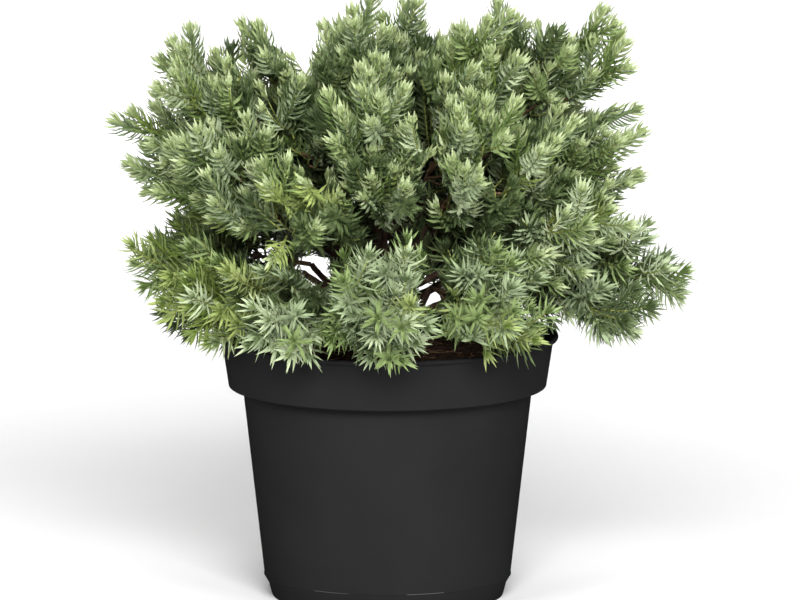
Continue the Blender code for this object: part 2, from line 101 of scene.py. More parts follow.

# Plastics of the pot and of the painted highlight on its raised line, each from dark to light
PLASTICS = {
    "black_plastic": ((0.0128, 0.0128, 0.0131), (0.0150, 0.0150, 0.0153)),
    # Pale plastic that paints a highlight on the raised line's upper side
    "scuffed_plastic": ((0.030, 0.028, 0.027), (0.075, 0.070, 0.067)),
}

# Peat, from its node's box
SOIL_LOW, SOIL_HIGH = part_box("soil")
SOIL_LEVEL = SOIL_HIGH.z
SOIL_RADIUS = (SOIL_HIGH.x - SOIL_LOW.x) / 2
SOIL_RINGS = 64
SOIL_SIDES = 150
SOIL_RELIEF = 0.0016
MOUND_SCALE = 60
MOUND_SHARE = 0.5
CRUMB_SCALE = 420
CRUMB_SHARE = 0.45
CRUMB_FRACTAL = (0.9, 2.1, 3)
CRUMB_SLICE = 0.3
LOOSE_EDGE_ROOM = 0.004
CHIPS = 620
CHIP_SIZES = (0.0006, 0.0022)
CHIP_SIZE_SPREAD = (0.6, 1)
CHIP_WIDTHS = (0.4, 0.9)
CHIP_HEIGHTS = (0.3, 0.7)
CHIP_TILT = 0.6
CHIP_ROUGHNESS = 0.14
FIBRES = 170
FIBRE_LENGTHS = (0.004, 0.012)
FIBRE_RADIUS = 0.00018
FIBRE_BEND = 1.2
FIBRE_STEPS = 4
FIBRE_SIDES = 4
FIBRE_EDGE_ROOM = 0.003

# Trunk and boughs, as in the source
TRUNK_FOOT = Vector((0.002, 0.001, 0.121 + CLEARANCE))
TRUNK_TIP = Vector((-0.003, 0.002, 0.192))
TRUNK_BEND = 0.003
TRUNK_RADII = (0.0062, 0.0026)
FLARE = 0.0036
FLARE_HEIGHT = 0.006
TRUNK_STATIONS = (0, 0.05, 0.12, 0.25, 0.45, 0.65, 0.85, 1)
BOUGH_ROOT_RADII = (0.0026, 0.0021, 0.0018)
BOUGH_TIP_RADIUS = 0.0013
BOUGH_SHARE = 0.34
BOUGH_STATIONS = 4
LOWEST_WHORL = 0.1305
WHORL_STEP = 0.0066
WHORLS_IN_TIER = 3
FIRST_BEARING = 90
CLOSE_BEARING = 60
LOW_TIER_CLIMB = 12
MIDDLE_TIER_CLIMB = 47
KNEE_OUT = 0.65
KNEE_RISE = 0.35

# Bark relief
TRUNK_RINGS = 90
TRUNK_SIDES = 30
BOUGH_RINGS = 34
BOUGH_SIDES = 14
BARK_RELIEF = 0.13
BARK_SCALE = Vector((420, 420, 70))
PLATE_FRACTAL = (0.8, 2.0, 4)
PATCH_SHARE = 0.5
PATCH_SCALE = 0.35
RING_SHIFT = 0.01

# Crown, as in the source
CROWN_FORK = Vector((0, 0, 0.160))
CELL_SHARE = 0.72
STEM_SHARE = 0.74
STEM_RADIUS = 0.0012
STEM_END_ROOM = 0.3
TWIG_RADIUS = 0.0009
TWIG_TIP_RADIUS = 0.0006
TWIG_JOIN_SLOPE = 1.1
LOWEST_JOIN = 0.05
HIGHEST_JOIN = 0.03
SPREAD = 0.040
TURN_JITTER = 0.25
EDGE_DROP = 0.16
EDGE_DROP_RANGE = (0.3, 1.3)
FAN_OUT = 0.45
SPRAY_LENGTH = 0.038
SPRAY_SINK = 0.003
SPRAY_SPOTS = (0, 0.25, 0.5, 0.75, 1)
TRIES = 10
TRY_PULL = 0.88
SPINDLE_MARGIN = 0.0034
LIMB_MARGIN = 0.0012

# Openings where the sky shows through the crown, along the front view's line of sight
VIEW_CLIMB = math.radians(9)
Window = namedtuple("Window", "x z radius")
WINDOWS = (
    Window(-0.0365, 0.1655, 0.0065),
    Window(-0.062, 0.1705, 0.003),
    Window(0.0215, 0.152, 0.006),
)

# Smaller openings that only the finer growth keeps off: two dips in the top outline, specks of sky,
# peat seen over the rim, and the collar's upper edge
GLIMPSES = (
    Window(-0.0435, 0.2900, 0.0110),
    Window(-0.0430, 0.2760, 0.0070),
    Window(-0.0425, 0.2660, 0.0042),
    Window(0.0832, 0.2966, 0.0120),
    Window(-0.0723, 0.2674, 0.0028),
    Window(0.0176, 0.2080, 0.0022),
    Window(0.0230, 0.1232, 0.0036),
    Window(0.0300, 0.1232, 0.0040),
    Window(0.0370, 0.1235, 0.0040),
    Window(0.0440, 0.1240, 0.0036),
    Window(0.0400, 0.1165, 0.0050),
    Window(0.0780, 0.1165, 0.0080),
    Window(0.0060, 0.1050, 0.0060),
    Window(-0.0400, 0.1060, 0.0060),
    Window(-0.0730, 0.1095, 0.0080),
)

# How far an opening's edge wanders for single needles, as a share of its radius
OPENING_RAGGED = 0.32

# Dark clefts between clumps, each a line across the front view that the outer growth keeps off. Behind
# the depth the inner shoots show, darkened with painted shade.
Cleft = namedtuple("Cleft", "start_x start_z end_x end_z half_width depth")
CLEFTS = (
    Cleft(-0.0577, 0.2591, -0.0565, 0.2420, 0.0030, -0.005),
    Cleft(-0.0450, 0.2280, -0.0330, 0.2070, 0.0036, -0.025),
    Cleft(-0.0540, 0.1920, -0.0500, 0.1780, 0.0040, -0.020),
    Cleft(-0.0540, 0.1580, -0.0500, 0.1500, 0.0030, -0.055),
    Cleft(0.0160, 0.2510, 0.0190, 0.2270, 0.0028, -0.020),
    Cleft(0.0210, 0.2160, 0.0285, 0.1960, 0.0032, -0.020),
    Cleft(0.0190, 0.1830, 0.0240, 0.1670, 0.0026, -0.030),
    Cleft(0.0485, 0.2230, 0.0560, 0.2030, 0.0032, -0.020),
    Cleft(0.0785, 0.2680, 0.0880, 0.2560, 0.0032, -0.010),
    Cleft(0.0785, 0.1950, 0.0850, 0.1790, 0.0028, -0.045),
)

# Masses of foliage, as in the source
Mass = namedtuple("Mass", "name bearing climb reach sprays lift fall")
MASSES = (
    Mass("left_skirt", 187, 4, 0.125, 5, 0.05, 40),
    Mass("left_front_skirt", 211, -3, 0.112, 5, 0.03, 40),
    Mass("rim_tuft", 240, -3, 0.116, 5, 0.00, 40),
    Mass("front_skirt", 268, 0, 0.129, 6, 0.15, 0),
    Mass("front_right_skirt", 299, 0, 0.127, 6, 0.15, 0),
    Mass("right_arm", 353, 2, 0.147, 5, 0.04, 40),
    Mass("back_right_skirt", 31, 3, 0.134, 5, 0.08, 20),
    Mass("back_skirt", 72, 4, 0.131, 5, 0.10, 10),
    Mass("back_left_skirt", 109, 3, 0.134, 5, 0.08, 20),
    Mass("left_back_skirt", 148, 3, 0.132, 5, 0.06, 20),
    Mass("left_wing", 180, 33, 0.149, 5, 0.10, 0),
    Mass("left_front_clump", 211, 33, 0.138, 4, 0.30, 0),
    Mass("front_left_clump", 241, 27, 0.133, 5, 0.25, 0),
    Mass("front_clump", 268, 45, 0.145, 5, 0.45, 0),
    Mass("front_right_clump", 302, 39, 0.139, 5, 0.45, 0),
    Mass("right_wing", 333, 19, 0.128, 5, 0.20, 0),
    Mass("right_shoulder", 354, 38, 0.145, 5, 0.25, 0),
    Mass("back_right_clump", 36, 36, 0.143, 5, 0.30, 0),
    Mass("back_clump", 82, 42, 0.143, 5, 0.35, 0),
    Mass("back_left_clump", 131, 36, 0.146, 5, 0.30, 0),
    Mass("left_crest", 185, 48, 0.158, 5, 0.35, 0),
    Mass("top_left_tuft", 200, 62, 0.144, 4, 0.45, 0),
    Mass("top_front_tuft", 245, 74, 0.142, 4, 0.45, 0),
    Mass("top_right_tuft", 328, 66, 0.143, 4, 0.45, 0),
    Mass("right_crest", 2, 51, 0.169, 5, 0.30, 0),
    Mass("back_right_crest", 26, 60, 0.143, 4, 0.40, 0),
    Mass("back_left_crest", 114, 64, 0.132, 4, 0.40, 0),
    Mass("crown_tip", 50, 84, 0.134, 3, 0.40, 0),
)

# Pieces of needles, each with how many masses it takes from the list in turn
NEEDLE_PIECES = (
    ("low_front_needles", 6),
    ("low_back_needles", 4),
    ("middle_front_needles", 6),
    ("middle_back_needles", 4),
    ("top_front_needles", 4),
    ("top_back_needles", 4),
)

# Finer growth: more sprays inside each mass, side shoots on every spray, and spurs on its stem and bough
INNER_SPRAYS = 10
INNER_SPREAD = 0.050
INNER_REACH = (0.62, 0.88)
LOWEST_TIP = 0.1355
SIDE_SHOOTS = 6
INNER_SIDE_SHOOTS = 4
SIDE_STATIONS = (-0.12, 0.62)
SIDE_LEAN = (30, 50)
SIDE_LENGTH = (0.016, 0.024)
SIDE_LIFT = 0.6
SPURS = 13
SPUR_STATIONS = (0.37, 0.72)
SPUR_LEAN = (42, 72)
SPUR_LENGTH = (0.017, 0.027)
BOUGH_SPURS = 9
BOUGH_SPUR_STATIONS = (0.25, 0.98)
BOUGH_SPUR_LENGTH = (0.014, 0.022)
CELL_CROSSING = 0.0010
SHOOT_LIMB_MARGIN = 0.0025
SAG = 0.07
TWIG_STATIONS = (0, 0.35, 0.7, 1)
TWIG_SIDES = 6
SHOOT_STEM_RADII = (0.0006, 0.00025)
SHOOT_STEM_STATIONS = (0, 0.33, 0.66, 0.97)
SHOOT_STEM_TAPER = (0, 0.33, 0.66, 1)
SHOOT_STEM_SIDES = 4

# Needles: the pairs from length to curl go from a tight shoot at the top of the crown to an open one at
# the skirt, and the pairs of tip needles from the innermost to the outermost
NEEDLE_LENGTH = (0.0104, 0.0122)
NEEDLE_WIDTH = (0.00168, 0.00130)
WHORL_SPACING = (0.00148, 0.0019)
LEAN_AT_ROOT = (48, 64)
LEAN_AT_TIP = (22, 40)
NEEDLE_CURL = (24, 6)
LEAN_EASE = 1.6
NEEDLES_IN_WHORL = 3
FEWEST_WHORLS = 4
ROOT_PART = 0.2
ROOT_NEEDLE_SHARE = 0.85
END_PART = 0.8
END_TAPER = 1.2
TIP_STATION = 0.985
TIP_NEEDLES = 10
TIP_NEEDLE_SHARE = (0.40, 0.74)
TIP_LEAN = (3, 24)
TIP_OPENING = 0.5
LEAN_JITTER = 4
NEEDLE_TURN_JITTER = 0.18
LENGTH_JITTER = 0.13
ROLL_JITTER = 0.45
BARE_ROOT = 0.10
OPEN_CLIMB = -5
TIGHT_CLIMB = 42
NEEDLE_CORNERS = 7
MIDDLE_SHARE = 0.56
BASE_WIDTH_SHARE = 0.72
KEEL_DEPTH = 0.42
ROOM_OVER_PEAT = 0.0008
ROOM_ROUND_LIP = 0.0010

# Colours of needles by kind of shoot, and of the pale new ones: the waxy upper side, then the lower side
NEEDLE_KINDS = {
    "silver": ((0.40, 0.47, 0.285), (0.150, 0.205, 0.078)),
    "blue": ((0.275, 0.345, 0.192), (0.100, 0.144, 0.055)),
    "green": ((0.21, 0.285, 0.105), (0.080, 0.125, 0.030)),
    "olive": ((0.290, 0.365, 0.108), (0.122, 0.176, 0.032)),
    "lime": ((0.29, 0.355, 0.120), (0.132, 0.188, 0.038)),
    "pale": ((0.40, 0.465, 0.250), (0.235, 0.295, 0.120)),
    # The dim and deepest kinds are painted shade: darker needles for the shade inside the crown, the deepest
    # near the fork
    "dim": ((0.105, 0.148, 0.055), (0.040, 0.064, 0.019)),
    "deep": ((0.066, 0.096, 0.034), (0.024, 0.040, 0.012)),
}
OUTER_MIX = (("silver", 0.32), ("blue", 0.34), ("green", 0.28), ("lime", 0.06))
OLIVE_MIX = (("silver", 0.12), ("green", 0.22), ("olive", 0.54), ("lime", 0.12))
SILVER_MIX = (("silver", 0.60), ("blue", 0.24), ("green", 0.12), ("lime", 0.04))
GREEN_MIX = (("silver", 0.12), ("blue", 0.36), ("green", 0.46), ("lime", 0.06))
MIX_OF_MASS = {
    "left_skirt": OLIVE_MIX,
    "left_front_skirt": OLIVE_MIX,
    "left_back_skirt": OLIVE_MIX,
    "front_left_clump": OLIVE_MIX,
    "front_right_skirt": GREEN_MIX,
    "right_arm": SILVER_MIX,
    "right_wing": SILVER_MIX,
    "right_crest": GREEN_MIX,
    "top_right_tuft": GREEN_MIX,
    "back_right_crest": GREEN_MIX,
}
# Inner sprays and spurs are mostly painted shade, darker needles where the inside of the crown lies in shade
INNER_MIX = (("silver", 0.04), ("blue", 0.20), ("green", 0.22), ("deep", 0.54))
SPUR_MIX = (("blue", 0.08), ("green", 0.14), ("deep", 0.78))

# Shoots of the deepest painted shade grow up to this far from the fork and take the dim painted shade beyond
# it. Needles are pale from a share of their shoot's length on, which goes from a tight shoot to an open one.
PAINTED_SHADE_REACH = 0.106
SHADED_KINDS = ("dim", "deep")
PALE_FROM = (0.80, 1.08)
PALE_JITTER = 0.06

# Photograph's frame, from which the camera is placed
PHOTO_WIDTH = 800
METRES_PER_PIXEL = 0.000497
CAMERA_DISTANCE = 4.8
CAMERA_TARGET = Vector((0.0062, 0, 0.1481))
SENSOR_WIDTH = 36

# Studio: soft lights with their power in watts and spread in degrees, the floor and the even fill
Softbox = namedtuple("Softbox", "name place target width height power spread")
PLANT_MIDDLE = Vector((0, 0, 0.15))
FLOOR_BEHIND = Vector((0, 1.9, 0))
SOFTBOXES = (
    Softbox("front", (0.2, -2.5, 1.5), PLANT_MIDDLE, 1.4, 1.0, 118, 180),
    Softbox("left", (-1.5, -1.5, 1.1), PLANT_MIDDLE, 0.8, 0.8, 25, 180),
    Softbox("right", (1.5, -1.7, 0.9), PLANT_MIDDLE, 0.8, 0.8, 24, 180),
    Softbox("top", (0.2, 0.3, 2.0), PLANT_MIDDLE, 1.0, 1.0, 8, 180),
    Softbox("sweep", (0.0, 2.2, 2.4), FLOOR_BEHIND, 3.5, 2.0, 27, 60),
)
FLOOR_SIZE = 30
FILL_STRENGTH = 0.06

Limb = namedtuple("Limb", "start end radius")
Twig = namedtuple("Twig", "start end start_radius end_radius")
Spray = namedtuple("Spray", "root tip")
Shoot = namedtuple("Shoot", "root tip kind openness")


# Numbers and directions


def between(pair, share):
    return pair[0] + (pair[1] - pair[0]) * share


def evenly(pair, count):
    """Evenly spaced values from the first of a pair to the second."""
    return [between(pair, index / (count - 1)) for index in range(count)]


def turned(first, second, angle):
    """A direction turned by an angle from one towards another."""
    return first * math.cos(angle) + second * math.sin(angle)


def turned_rows(first, second, angles):
    """The same for arrays of directions and angles."""
    return first * np.cos(angles)[:, None] + second * np.sin(angles)[:, None]


def side_frame(ahead):
    """Two unit vectors square to a direction and to each other."""
    across = ahead.cross(UP)
    if across.length < NEARLY_UPRIGHT:
        across = Vector((1, 0, 0))
    across.normalize()
    return across, ahead.cross(across)


def leaning(ahead, turn, lean):
    """A direction at a lean off another one, at a turn round it."""
    return turned(ahead, turned(*side_frame(ahead), turn), lean)


def ring_spots(radius, sides, shift=0):
    """The x and y of evenly spaced points on a circle round the axis, shifted by a share of a step."""
    turns = [math.tau * (side + shift) / sides for side in range(sides)]
    return [(radius * math.cos(turn), radius * math.sin(turn)) for turn in turns]


# Materials


def new_material(name, roughness, specular):
    """A material with its node tree and its shader."""
    made = bpy.data.materials.new(name)
    made.use_nodes = True
    shader = made.node_tree.nodes["Principled BSDF"]
    shader.inputs["Roughness"].default_value = roughness
    shader.inputs["Specular IOR Level"].default_value = specular
    return made, made.node_tree, shader


def plain_material(name, colour, roughness, specular):
    made, _, shader = new_material(name, roughness, specular)
    shader.inputs["Base Color"].default_value = (*colour, 1)
    return made


def noise_output(tree, scale, detail, stretch=(1, 1, 1)):
    """Noise on the object's own coordinates, stretched along its axes."""
    place = tree.nodes.new("ShaderNodeTexCoord")
    mapping = tree.nodes.new("ShaderNodeMapping")
    mapping.inputs["Scale"].default_value = stretch
    texture = tree.nodes.new("ShaderNodeTexNoise")
    texture.inputs["Scale"].default_value = scale
    texture.inputs["Detail"].default_value = detail
    tree.links.new(place.outputs["Object"], mapping.inputs["Vector"])
    tree.links.new(mapping.outputs["Vector"], texture.inputs["Vector"])
    return texture.outputs["Fac"]


def mottle(tree, shader, pattern, stops):
    """Colours a shader by a pattern, through stops of position and colour."""
    ramp = tree.nodes.new("ShaderNodeValToRGB")
    while len(ramp.color_ramp.elements) < len(stops):
        ramp.color_ramp.elements.new(0.5)
    for element, (position, colour) in zip(ramp.color_ramp.elements, stops):
        element.position = position
        element.color = (*colour, 1)
    tree.links.new(pattern, ramp.inputs["Fac"])
    tree.links.new(ramp.outputs["Color"], shader.inputs["Base Color"])


def add_bump(tree, shader, pattern, strength, distance):
    bump = tree.nodes.new("ShaderNodeBump")
    bump.inputs["Strength"].default_value = strength
    bump.inputs["Distance"].default_value = distance
    tree.links.new(pattern, bump.inputs["Height"])
    tree.links.new(bump.outputs["Normal"], shader.inputs["Normal"])


def plastic_material(name, dark, light):
    """Matt plastic with a faint cloudiness and a fine moulded grain."""
    made, tree, shader = new_material(name, roughness=0.6, specular=0)
    clouds = noise_output(tree, scale=22, detail=3)
    mottle(tree, shader, clouds, ((0.3, dark), (0.7, light)))
    grain = noise_output(tree, scale=2600, detail=2)
    add_bump(tree, shader, grain, strength=0.10, distance=0.0002)
    return made


def peat_material():
    """Moist peat: dark brown crumbs with redder and paler specks."""
    made, tree, shader = new_material("moist_peat", roughness=0.93, specular=0.2)
    crumbs = noise_output(tree, scale=420, detail=6)
    stops = ((0.30, (0.010, 0.006, 0.004)), (0.50, (0.038, 0.020, 0.011)), (0.72, (0.115, 0.062, 0.033)))
    mottle(tree, shader, crumbs, stops)
    add_bump(tree, shader, crumbs, strength=0.8, distance=0.0008)
    return made


def bark_material():
    """Scaly bark with lengthwise fibres, from red-brown furrows to paler ridges."""
    made, tree, shader = new_material("scaly_bark", roughness=0.88, specular=0.25)
    fibres = noise_output(tree, scale=260, detail=6, stretch=(1, 1, 0.16))
    stops = ((0.32, (0.014, 0.007, 0.005)), (0.52, (0.046, 0.024, 0.015)), (0.74, (0.105, 0.068, 0.046)))
    mottle(tree, shader, fibres, stops)
    add_bump(tree, shader, fibres, strength=0.9, distance=0.0006)
    return made


def twig_material(name, dark, light):
    """Thin bark or fibre, streaked from dark to light."""
    made, tree, shader = new_material(name, roughness=0.6, specular=0.35)
    streaks = noise_output(tree, scale=520, detail=3)
    mottle(tree, shader, streaks, ((0.35, dark), (0.65, light)))
    return made


# Meshes


def new_object(name, data):
    made = bpy.data.objects.new(name, data)
    bpy.context.scene.collection.objects.link(made)
    return made


def mesh_from(bm, name):
    """A mesh from a finished bmesh, which is freed."""
    mesh = bpy.data.meshes.new(name)
    bm.to_mesh(mesh)
    bm.free()
    return mesh


def mesh_of(name, vertices, triangles, materials, material_indices=None, smooth=False):
    """A mesh from arrays of vertices and triangles."""
    mesh = bpy.data.meshes.new(name)
    mesh.vertices.add(len(vertices))
    mesh.vertices.foreach_set("co", np.asarray(vertices, np.float32).ravel())
    mesh.loops.add(len(triangles) * 3)
    mesh.loops.foreach_set("vertex_index", np.asarray(triangles, np.int32).ravel())
    mesh.polygons.add(len(triangles))
    mesh.polygons.foreach_set("loop_start", np.arange(0, len(triangles) * 3, 3, dtype=np.int32))
    mesh.polygons.foreach_set("use_smooth", np.full(len(triangles), smooth))
    for surface in materials:
        mesh.materials.append(surface)
    if material_indices is not None:
        mesh.polygons.foreach_set("material_index", np.asarray(material_indices, np.int32))
    mesh.update(calc_edges=True)
    mesh.validate()
    return mesh


def tube_arrays(points, radii, sides):
    """A closed round tube through points: its vertices and triangles."""
    rings = []
    for index, (point, radius) in enumerate(zip(points, radii)):
        before = points[max(index - 1, 0)]
        after = points[min(index + 1, len(points) - 1)]
        across, other = side_frame((after - before).normalized())
        turns = [math.tau * side / sides for side in range(sides)]
        rings += [point + turned(across, other, turn) * radius for turn in turns]
    triangles = []
    for ring in range(len(points) - 1):
        low = ring * sides
        for side in range(sides):
            a, b = low + side, low + (side + 1) % sides
            triangles += [(a, b, b + sides), (a, b + sides, a + sides)]
    last = (len(points) - 1) * sides
    for side in range(1, sides - 1):
        triangles += [(0, side + 1, side), (last, last + side, last + side + 1)]
    return rings, triangles


def tube_object(name, arrays, surface):
    """A smooth object from vertices and triangles."""
    return new_object(name, mesh_of(name, *arrays, [surface], smooth=True))


def joined(parts):
    """One list of vertices and one of triangles from several."""
    vertices, triangles = [], []
    for part_vertices, part_triangles in parts:
        shift = len(vertices)
        vertices += part_vertices
        triangles += [(a + shift, b + shift, c + shift) for a, b, c in part_triangles]
    return vertices, triangles


# Pot


def arc(centre_r, centre_z, radius, start, end, steps):
    """Points of a turned profile round a centre, from one angle in degrees to another."""
    angles = (math.radians(start + (end - start) * step / steps) for step in range(steps + 1))
    return [(centre_r + radius * math.cos(a), centre_z + radius * math.sin(a)) for a in angles]


def collar_inner_radius(height):
    slope = (COLLAR_TOP_RADIUS - COLLAR_FOOT_RADIUS) / (POT_HEIGHT - COLLAR_FOOT_HEIGHT)
    return COLLAR_FOOT_RADIUS + slope * (height - COLLAR_FOOT_HEIGHT) - WALL


def inner_wall():
    """The pot's inner side from its floor to under the lip."""
    return [
        (FOOT_RADIUS - WALL, FLOOR),
        (BODY_FOOT_RADIUS - WALL, BODY_FOOT_HEIGHT),
        (BODY_TOP_RADIUS - WALL, BODY_TOP_HEIGHT + WALL),
        (COLLAR_FOOT_RADIUS - WALL, COLLAR_FOOT_HEIGHT + WALL),
        (collar_inner_radius(POT_HEIGHT - 2 * LIP_ROLL), POT_HEIGHT - 2 * LIP_ROLL),
    ]


def body_radius(height):
    share = (height - BODY_FOOT_HEIGHT) / (BODY_TOP_HEIGHT - BODY_FOOT_HEIGHT)
    return between((BODY_FOOT_RADIUS, BODY_TOP_RADIUS), share)


def mould_line():
    """A thin raised line round the body's foot, from above to below."""
    line = []
    for rise, stand in ((MOULD_LINE, 0), (0, MOULD_LINE), (-MOULD_LINE, 0)):
        height = MOULD_LINE_HEIGHT + rise
        line.append((body_radius(height) + stand, height))
    return line


def pot_profile():
    edge = COLLAR_EDGE_ROUND
    return [
        (0, FLOOR),
        *inner_wall(),
        *arc(LIP_RADIUS - LIP_ROLL, POT_HEIGHT - LIP_ROLL, LIP_ROLL, *LIP_ARC, LIP_STEPS),
        (COLLAR_TOP_RADIUS, POT_HEIGHT - UNDER_LIP),
        *arc(COLLAR_FOOT_RADIUS - edge, COLLAR_FOOT_HEIGHT + edge, edge, *COLLAR_EDGE_ARC, COLLAR_EDGE_STEPS),
        (COLLAR_FOOT_RADIUS - SHOULDER_STEP, COLLAR_FOOT_HEIGHT - SHOULDER_DROP),
        (BODY_TOP_RADIUS, BODY_TOP_HEIGHT),
        *mould_line(),
        (BODY_FOOT_RADIUS, BODY_FOOT_HEIGHT),
        (FOOT_TOP_RADIUS, FOOT_TOP_HEIGHT),
        (FOOT_RADIUS + FOOT_ROUND, WALL),
        (FOOT_RADIUS, 0),
        (0, 0),
    ]


def turned_bmesh(profile, sides):
    """A closed turned body from a profile that starts and ends on the axis."""
    bm = bmesh.new()
    spots = [bm.verts.new((radius, 0, height)) for radius, height in profile]
    edges = [bm.edges.new(pair) for pair in zip(spots, spots[1:])]
    bmesh.ops.spin(bm, geom=spots + edges, cent=(0, 0, 0), axis=UP, angle=math.tau, steps=sides)
    bmesh.ops.remove_doubles(bm, verts=bm.verts, dist=POT_WELD)
    bmesh.ops.recalc_face_normals(bm, faces=bm.faces)
    return bm


def drain_cutters():
    bm = bmesh.new()
    for x, y in ring_spots(DRAIN_CIRCLE_RADIUS, DRAIN_HOLES, shift=0.5):
        bmesh.ops.create_cone(
            bm,
            cap_ends=True,
            segments=DRAIN_HOLE_SIDES,
            radius1=DRAIN_HOLE_RADIUS,
            radius2=DRAIN_HOLE_RADIUS,
            depth=4 * FLOOR,
            matrix=Matrix.Translation((x, y, FLOOR / 2)),
        )
    return new_object("drain_cutters", mesh_from(bm, "drain_cutters"))


def paint_highlight(bm):
    """Paints a highlight on the upper side of the raised line along its arcs, with the pale plastic."""
    for face in bm.faces:
        spot = face.calc_center_median()
        on_line = 0 < spot.z - MOULD_LINE_HEIGHT < MOULD_LINE and spot.xy.length > BODY_FOOT_RADIUS
        bearing = math.degrees(math.atan2(spot.y, spot.x)) % 360
        if on_line and any(start < bearing < end for start, end in HIGHLIGHT_ARCS):
            face.material_index = 1


def build_pot():
    """The pot, pierced by its drain holes."""
    bm = turned_bmesh(pot_profile(), POT_SIDES)
    # Paints a highlight on the raised line's upper side
    paint_highlight(bm)
    pot = new_object("nursery_pot", mesh_from(bm, "nursery_pot"))
    for name, (dark, light) in PLASTICS.items():
        pot.data.materials.append(plastic_material(name, dark, light))
    cutters = drain_cutters()
    cut = pot.modifiers.new("Drain holes", "BOOLEAN")
    cut.operation = "DIFFERENCE"
    cut.object = cutters
    graph = bpy.context.evaluated_depsgraph_get()
    pierced = bpy.data.meshes.new_from_object(pot.evaluated_get(graph))
    pot.modifiers.clear()
    pot.data = pierced
    bpy.data.objects.remove(cutters)
    pierced.shade_smooth()
    pierced.set_sharp_from_angle(angle=SHARP_EDGE)
    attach(pot, "root")
    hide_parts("pot")


# Peat


def soil_height(x, y):
    """The peat's surface: low mounds, crumbs and a slight fall towards the wall."""
    radius = math.hypot(x, y)
    mounds = noise.noise(Vector((x, y, 0)) * MOUND_SCALE)
    crumbs = noise.fractal(Vector((x, y, CRUMB_SLICE)) * CRUMB_SCALE, *CRUMB_FRACTAL)
    fall = SOIL_RELIEF * (radius / SOIL_RADIUS) ** 2
    return SOIL_LEVEL - SOIL_RELIEF + SOIL_RELIEF * (MOUND_SHARE * mounds + CRUMB_SHARE * crumbs) - fall


def build_peat():
    """A closed body of peat: a rough top, and a plain side and bottom against the pot."""
    gap = 2 * CLEARANCE
    rim = collar_inner_radius(SOIL_LEVEL) - gap
    bm = bmesh.new()
    rings = []
    for index in range(1, SOIL_RINGS + 1):
        spots = ring_spots(rim * index / SOIL_RINGS, SOIL_SIDES)
        rings.append([bm.verts.new((x, y, soil_height(x, y))) for x, y in spots])
    for radius, height in reversed(inner_wall()[:-1]):
        spots = ring_spots(radius - gap, SOIL_SIDES)
        rings.append([bm.verts.new((x, y, height + gap)) for x, y in spots])
    top = bm.verts.new((0, 0, soil_height(0, 0)))
    for side in range(SOIL_SIDES):
        after = (side + 1) % SOIL_SIDES
        bm.faces.new((top, rings[0][side], rings[0][after]))
        for inner, outer in zip(rings, rings[1:]):
            bm.faces.new((inner[side], outer[side], outer[after], inner[after]))
    bm.faces.new(list(reversed(rings[-1])))
    mesh = mesh_from(bm, "peat")
    mesh.shade_smooth()
    mesh.materials.append(peat_material())
    peat = new_object("peat", mesh)
    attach(peat, "root")
    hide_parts("soil")
    return mesh.materials[0]


def spot_on_peat(rng):
    """A random place on the peat, evenly spread over it."""
    radius = (SOIL_RADIUS - LOOSE_EDGE_ROOM) * math.sqrt(rng.random())
    turn = rng.uniform(0, math.tau)
    x, y = radius * math.cos(turn), radius * math.sin(turn)
    return Vector((x, y, soil_height(x, y)))


def build_chips(surface):
    """Loose crumbs of peat and chips of bark on the surface."""
    rng = random.Random("chips")
    bm = bmesh.new()
    for _ in range(CHIPS):
        size = rng.uniform(*CHIP_SIZES) * rng.uniform(*CHIP_SIZE_SPREAD)
        turn = Matrix.Rotation(rng.uniform(0, math.tau), 4, "Z")
        spin = turn @ Matrix.Rotation(rng.uniform(-CHIP_TILT, CHIP_TILT), 4, "X")
        width, height = size * rng.uniform(*CHIP_WIDTHS), size * rng.uniform(*CHIP_HEIGHTS)
        place = Matrix.Translation(spot_on_peat(rng)) @ spin @ Matrix.Diagonal((size, width, height, 1))
        made = bmesh.ops.create_icosphere(bm, subdivisions=1, radius=1, matrix=place)
        for vertex in made["verts"]:
            shift = Vector((rng.gauss(0, 1), rng.gauss(0, 1), rng.gauss(0, 1)))
            vertex.co += shift * size * CHIP_ROUGHNESS
    chips = new_object("peat_chips", mesh_from(bm, "peat_chips"))
    chips.data.materials.append(surface)
    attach(chips, "root")


def build_fibres():
    """Thin root fibres that lie on the peat in slight curves."""
    rng = random.Random("fibres")
    parts = []
    for _ in range(FIBRES):
        start = spot_on_peat(rng)
        turn = rng.uniform(0, math.tau)
        bend = rng.uniform(-FIBRE_BEND, FIBRE_BEND)
        length = rng.uniform(*FIBRE_LENGTHS)
        points = [start]
        for _ in range(FIBRE_STEPS):
            turn += bend / FIBRE_STEPS
            ahead = Vector((math.cos(turn), math.sin(turn), 0)) * length / FIBRE_STEPS
            point = points[-1] + ahead
            if point.xy.length > SOIL_RADIUS - FIBRE_EDGE_ROOM:
                break
            point.z = soil_height(point.x, point.y) + FIBRE_RADIUS * 2
            points.append(point)
        if len(points) > 2:
            parts.append(tube_arrays(points, [FIBRE_RADIUS] * len(points), FIBRE_SIDES))
    surface = twig_material("root_fibre", dark=(0.10, 0.05, 0.025), light=(0.30, 0.18, 0.09))
    fibres = tube_object("peat_fibres", joined(parts), surface)
    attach(fibres, "root")


# Growth rule of the source


def trunk_point(share):
    """A point on the trunk's centre line, which rises straight from the foot and bows a little."""
    straight = TRUNK_FOOT.lerp(TRUNK_TIP, share)
    lean = TRUNK_TIP - TRUNK_FOOT
    ease = share * share * (3 - 2 * share) - share
    bow = Vector((-TRUNK_BEND, TRUNK_BEND / 2, 0)) * math.sin(math.pi * share) * share
    return straight + Vector((lean.x, lean.y, 0)) * ease + bow


def trunk_radius(share):
    taper = between(TRUNK_RADII, share)
    rise = share * (TRUNK_TIP.z - TRUNK_FOOT.z)
    return taper + FLARE * math.exp(-rise / FLARE_HEIGHT)


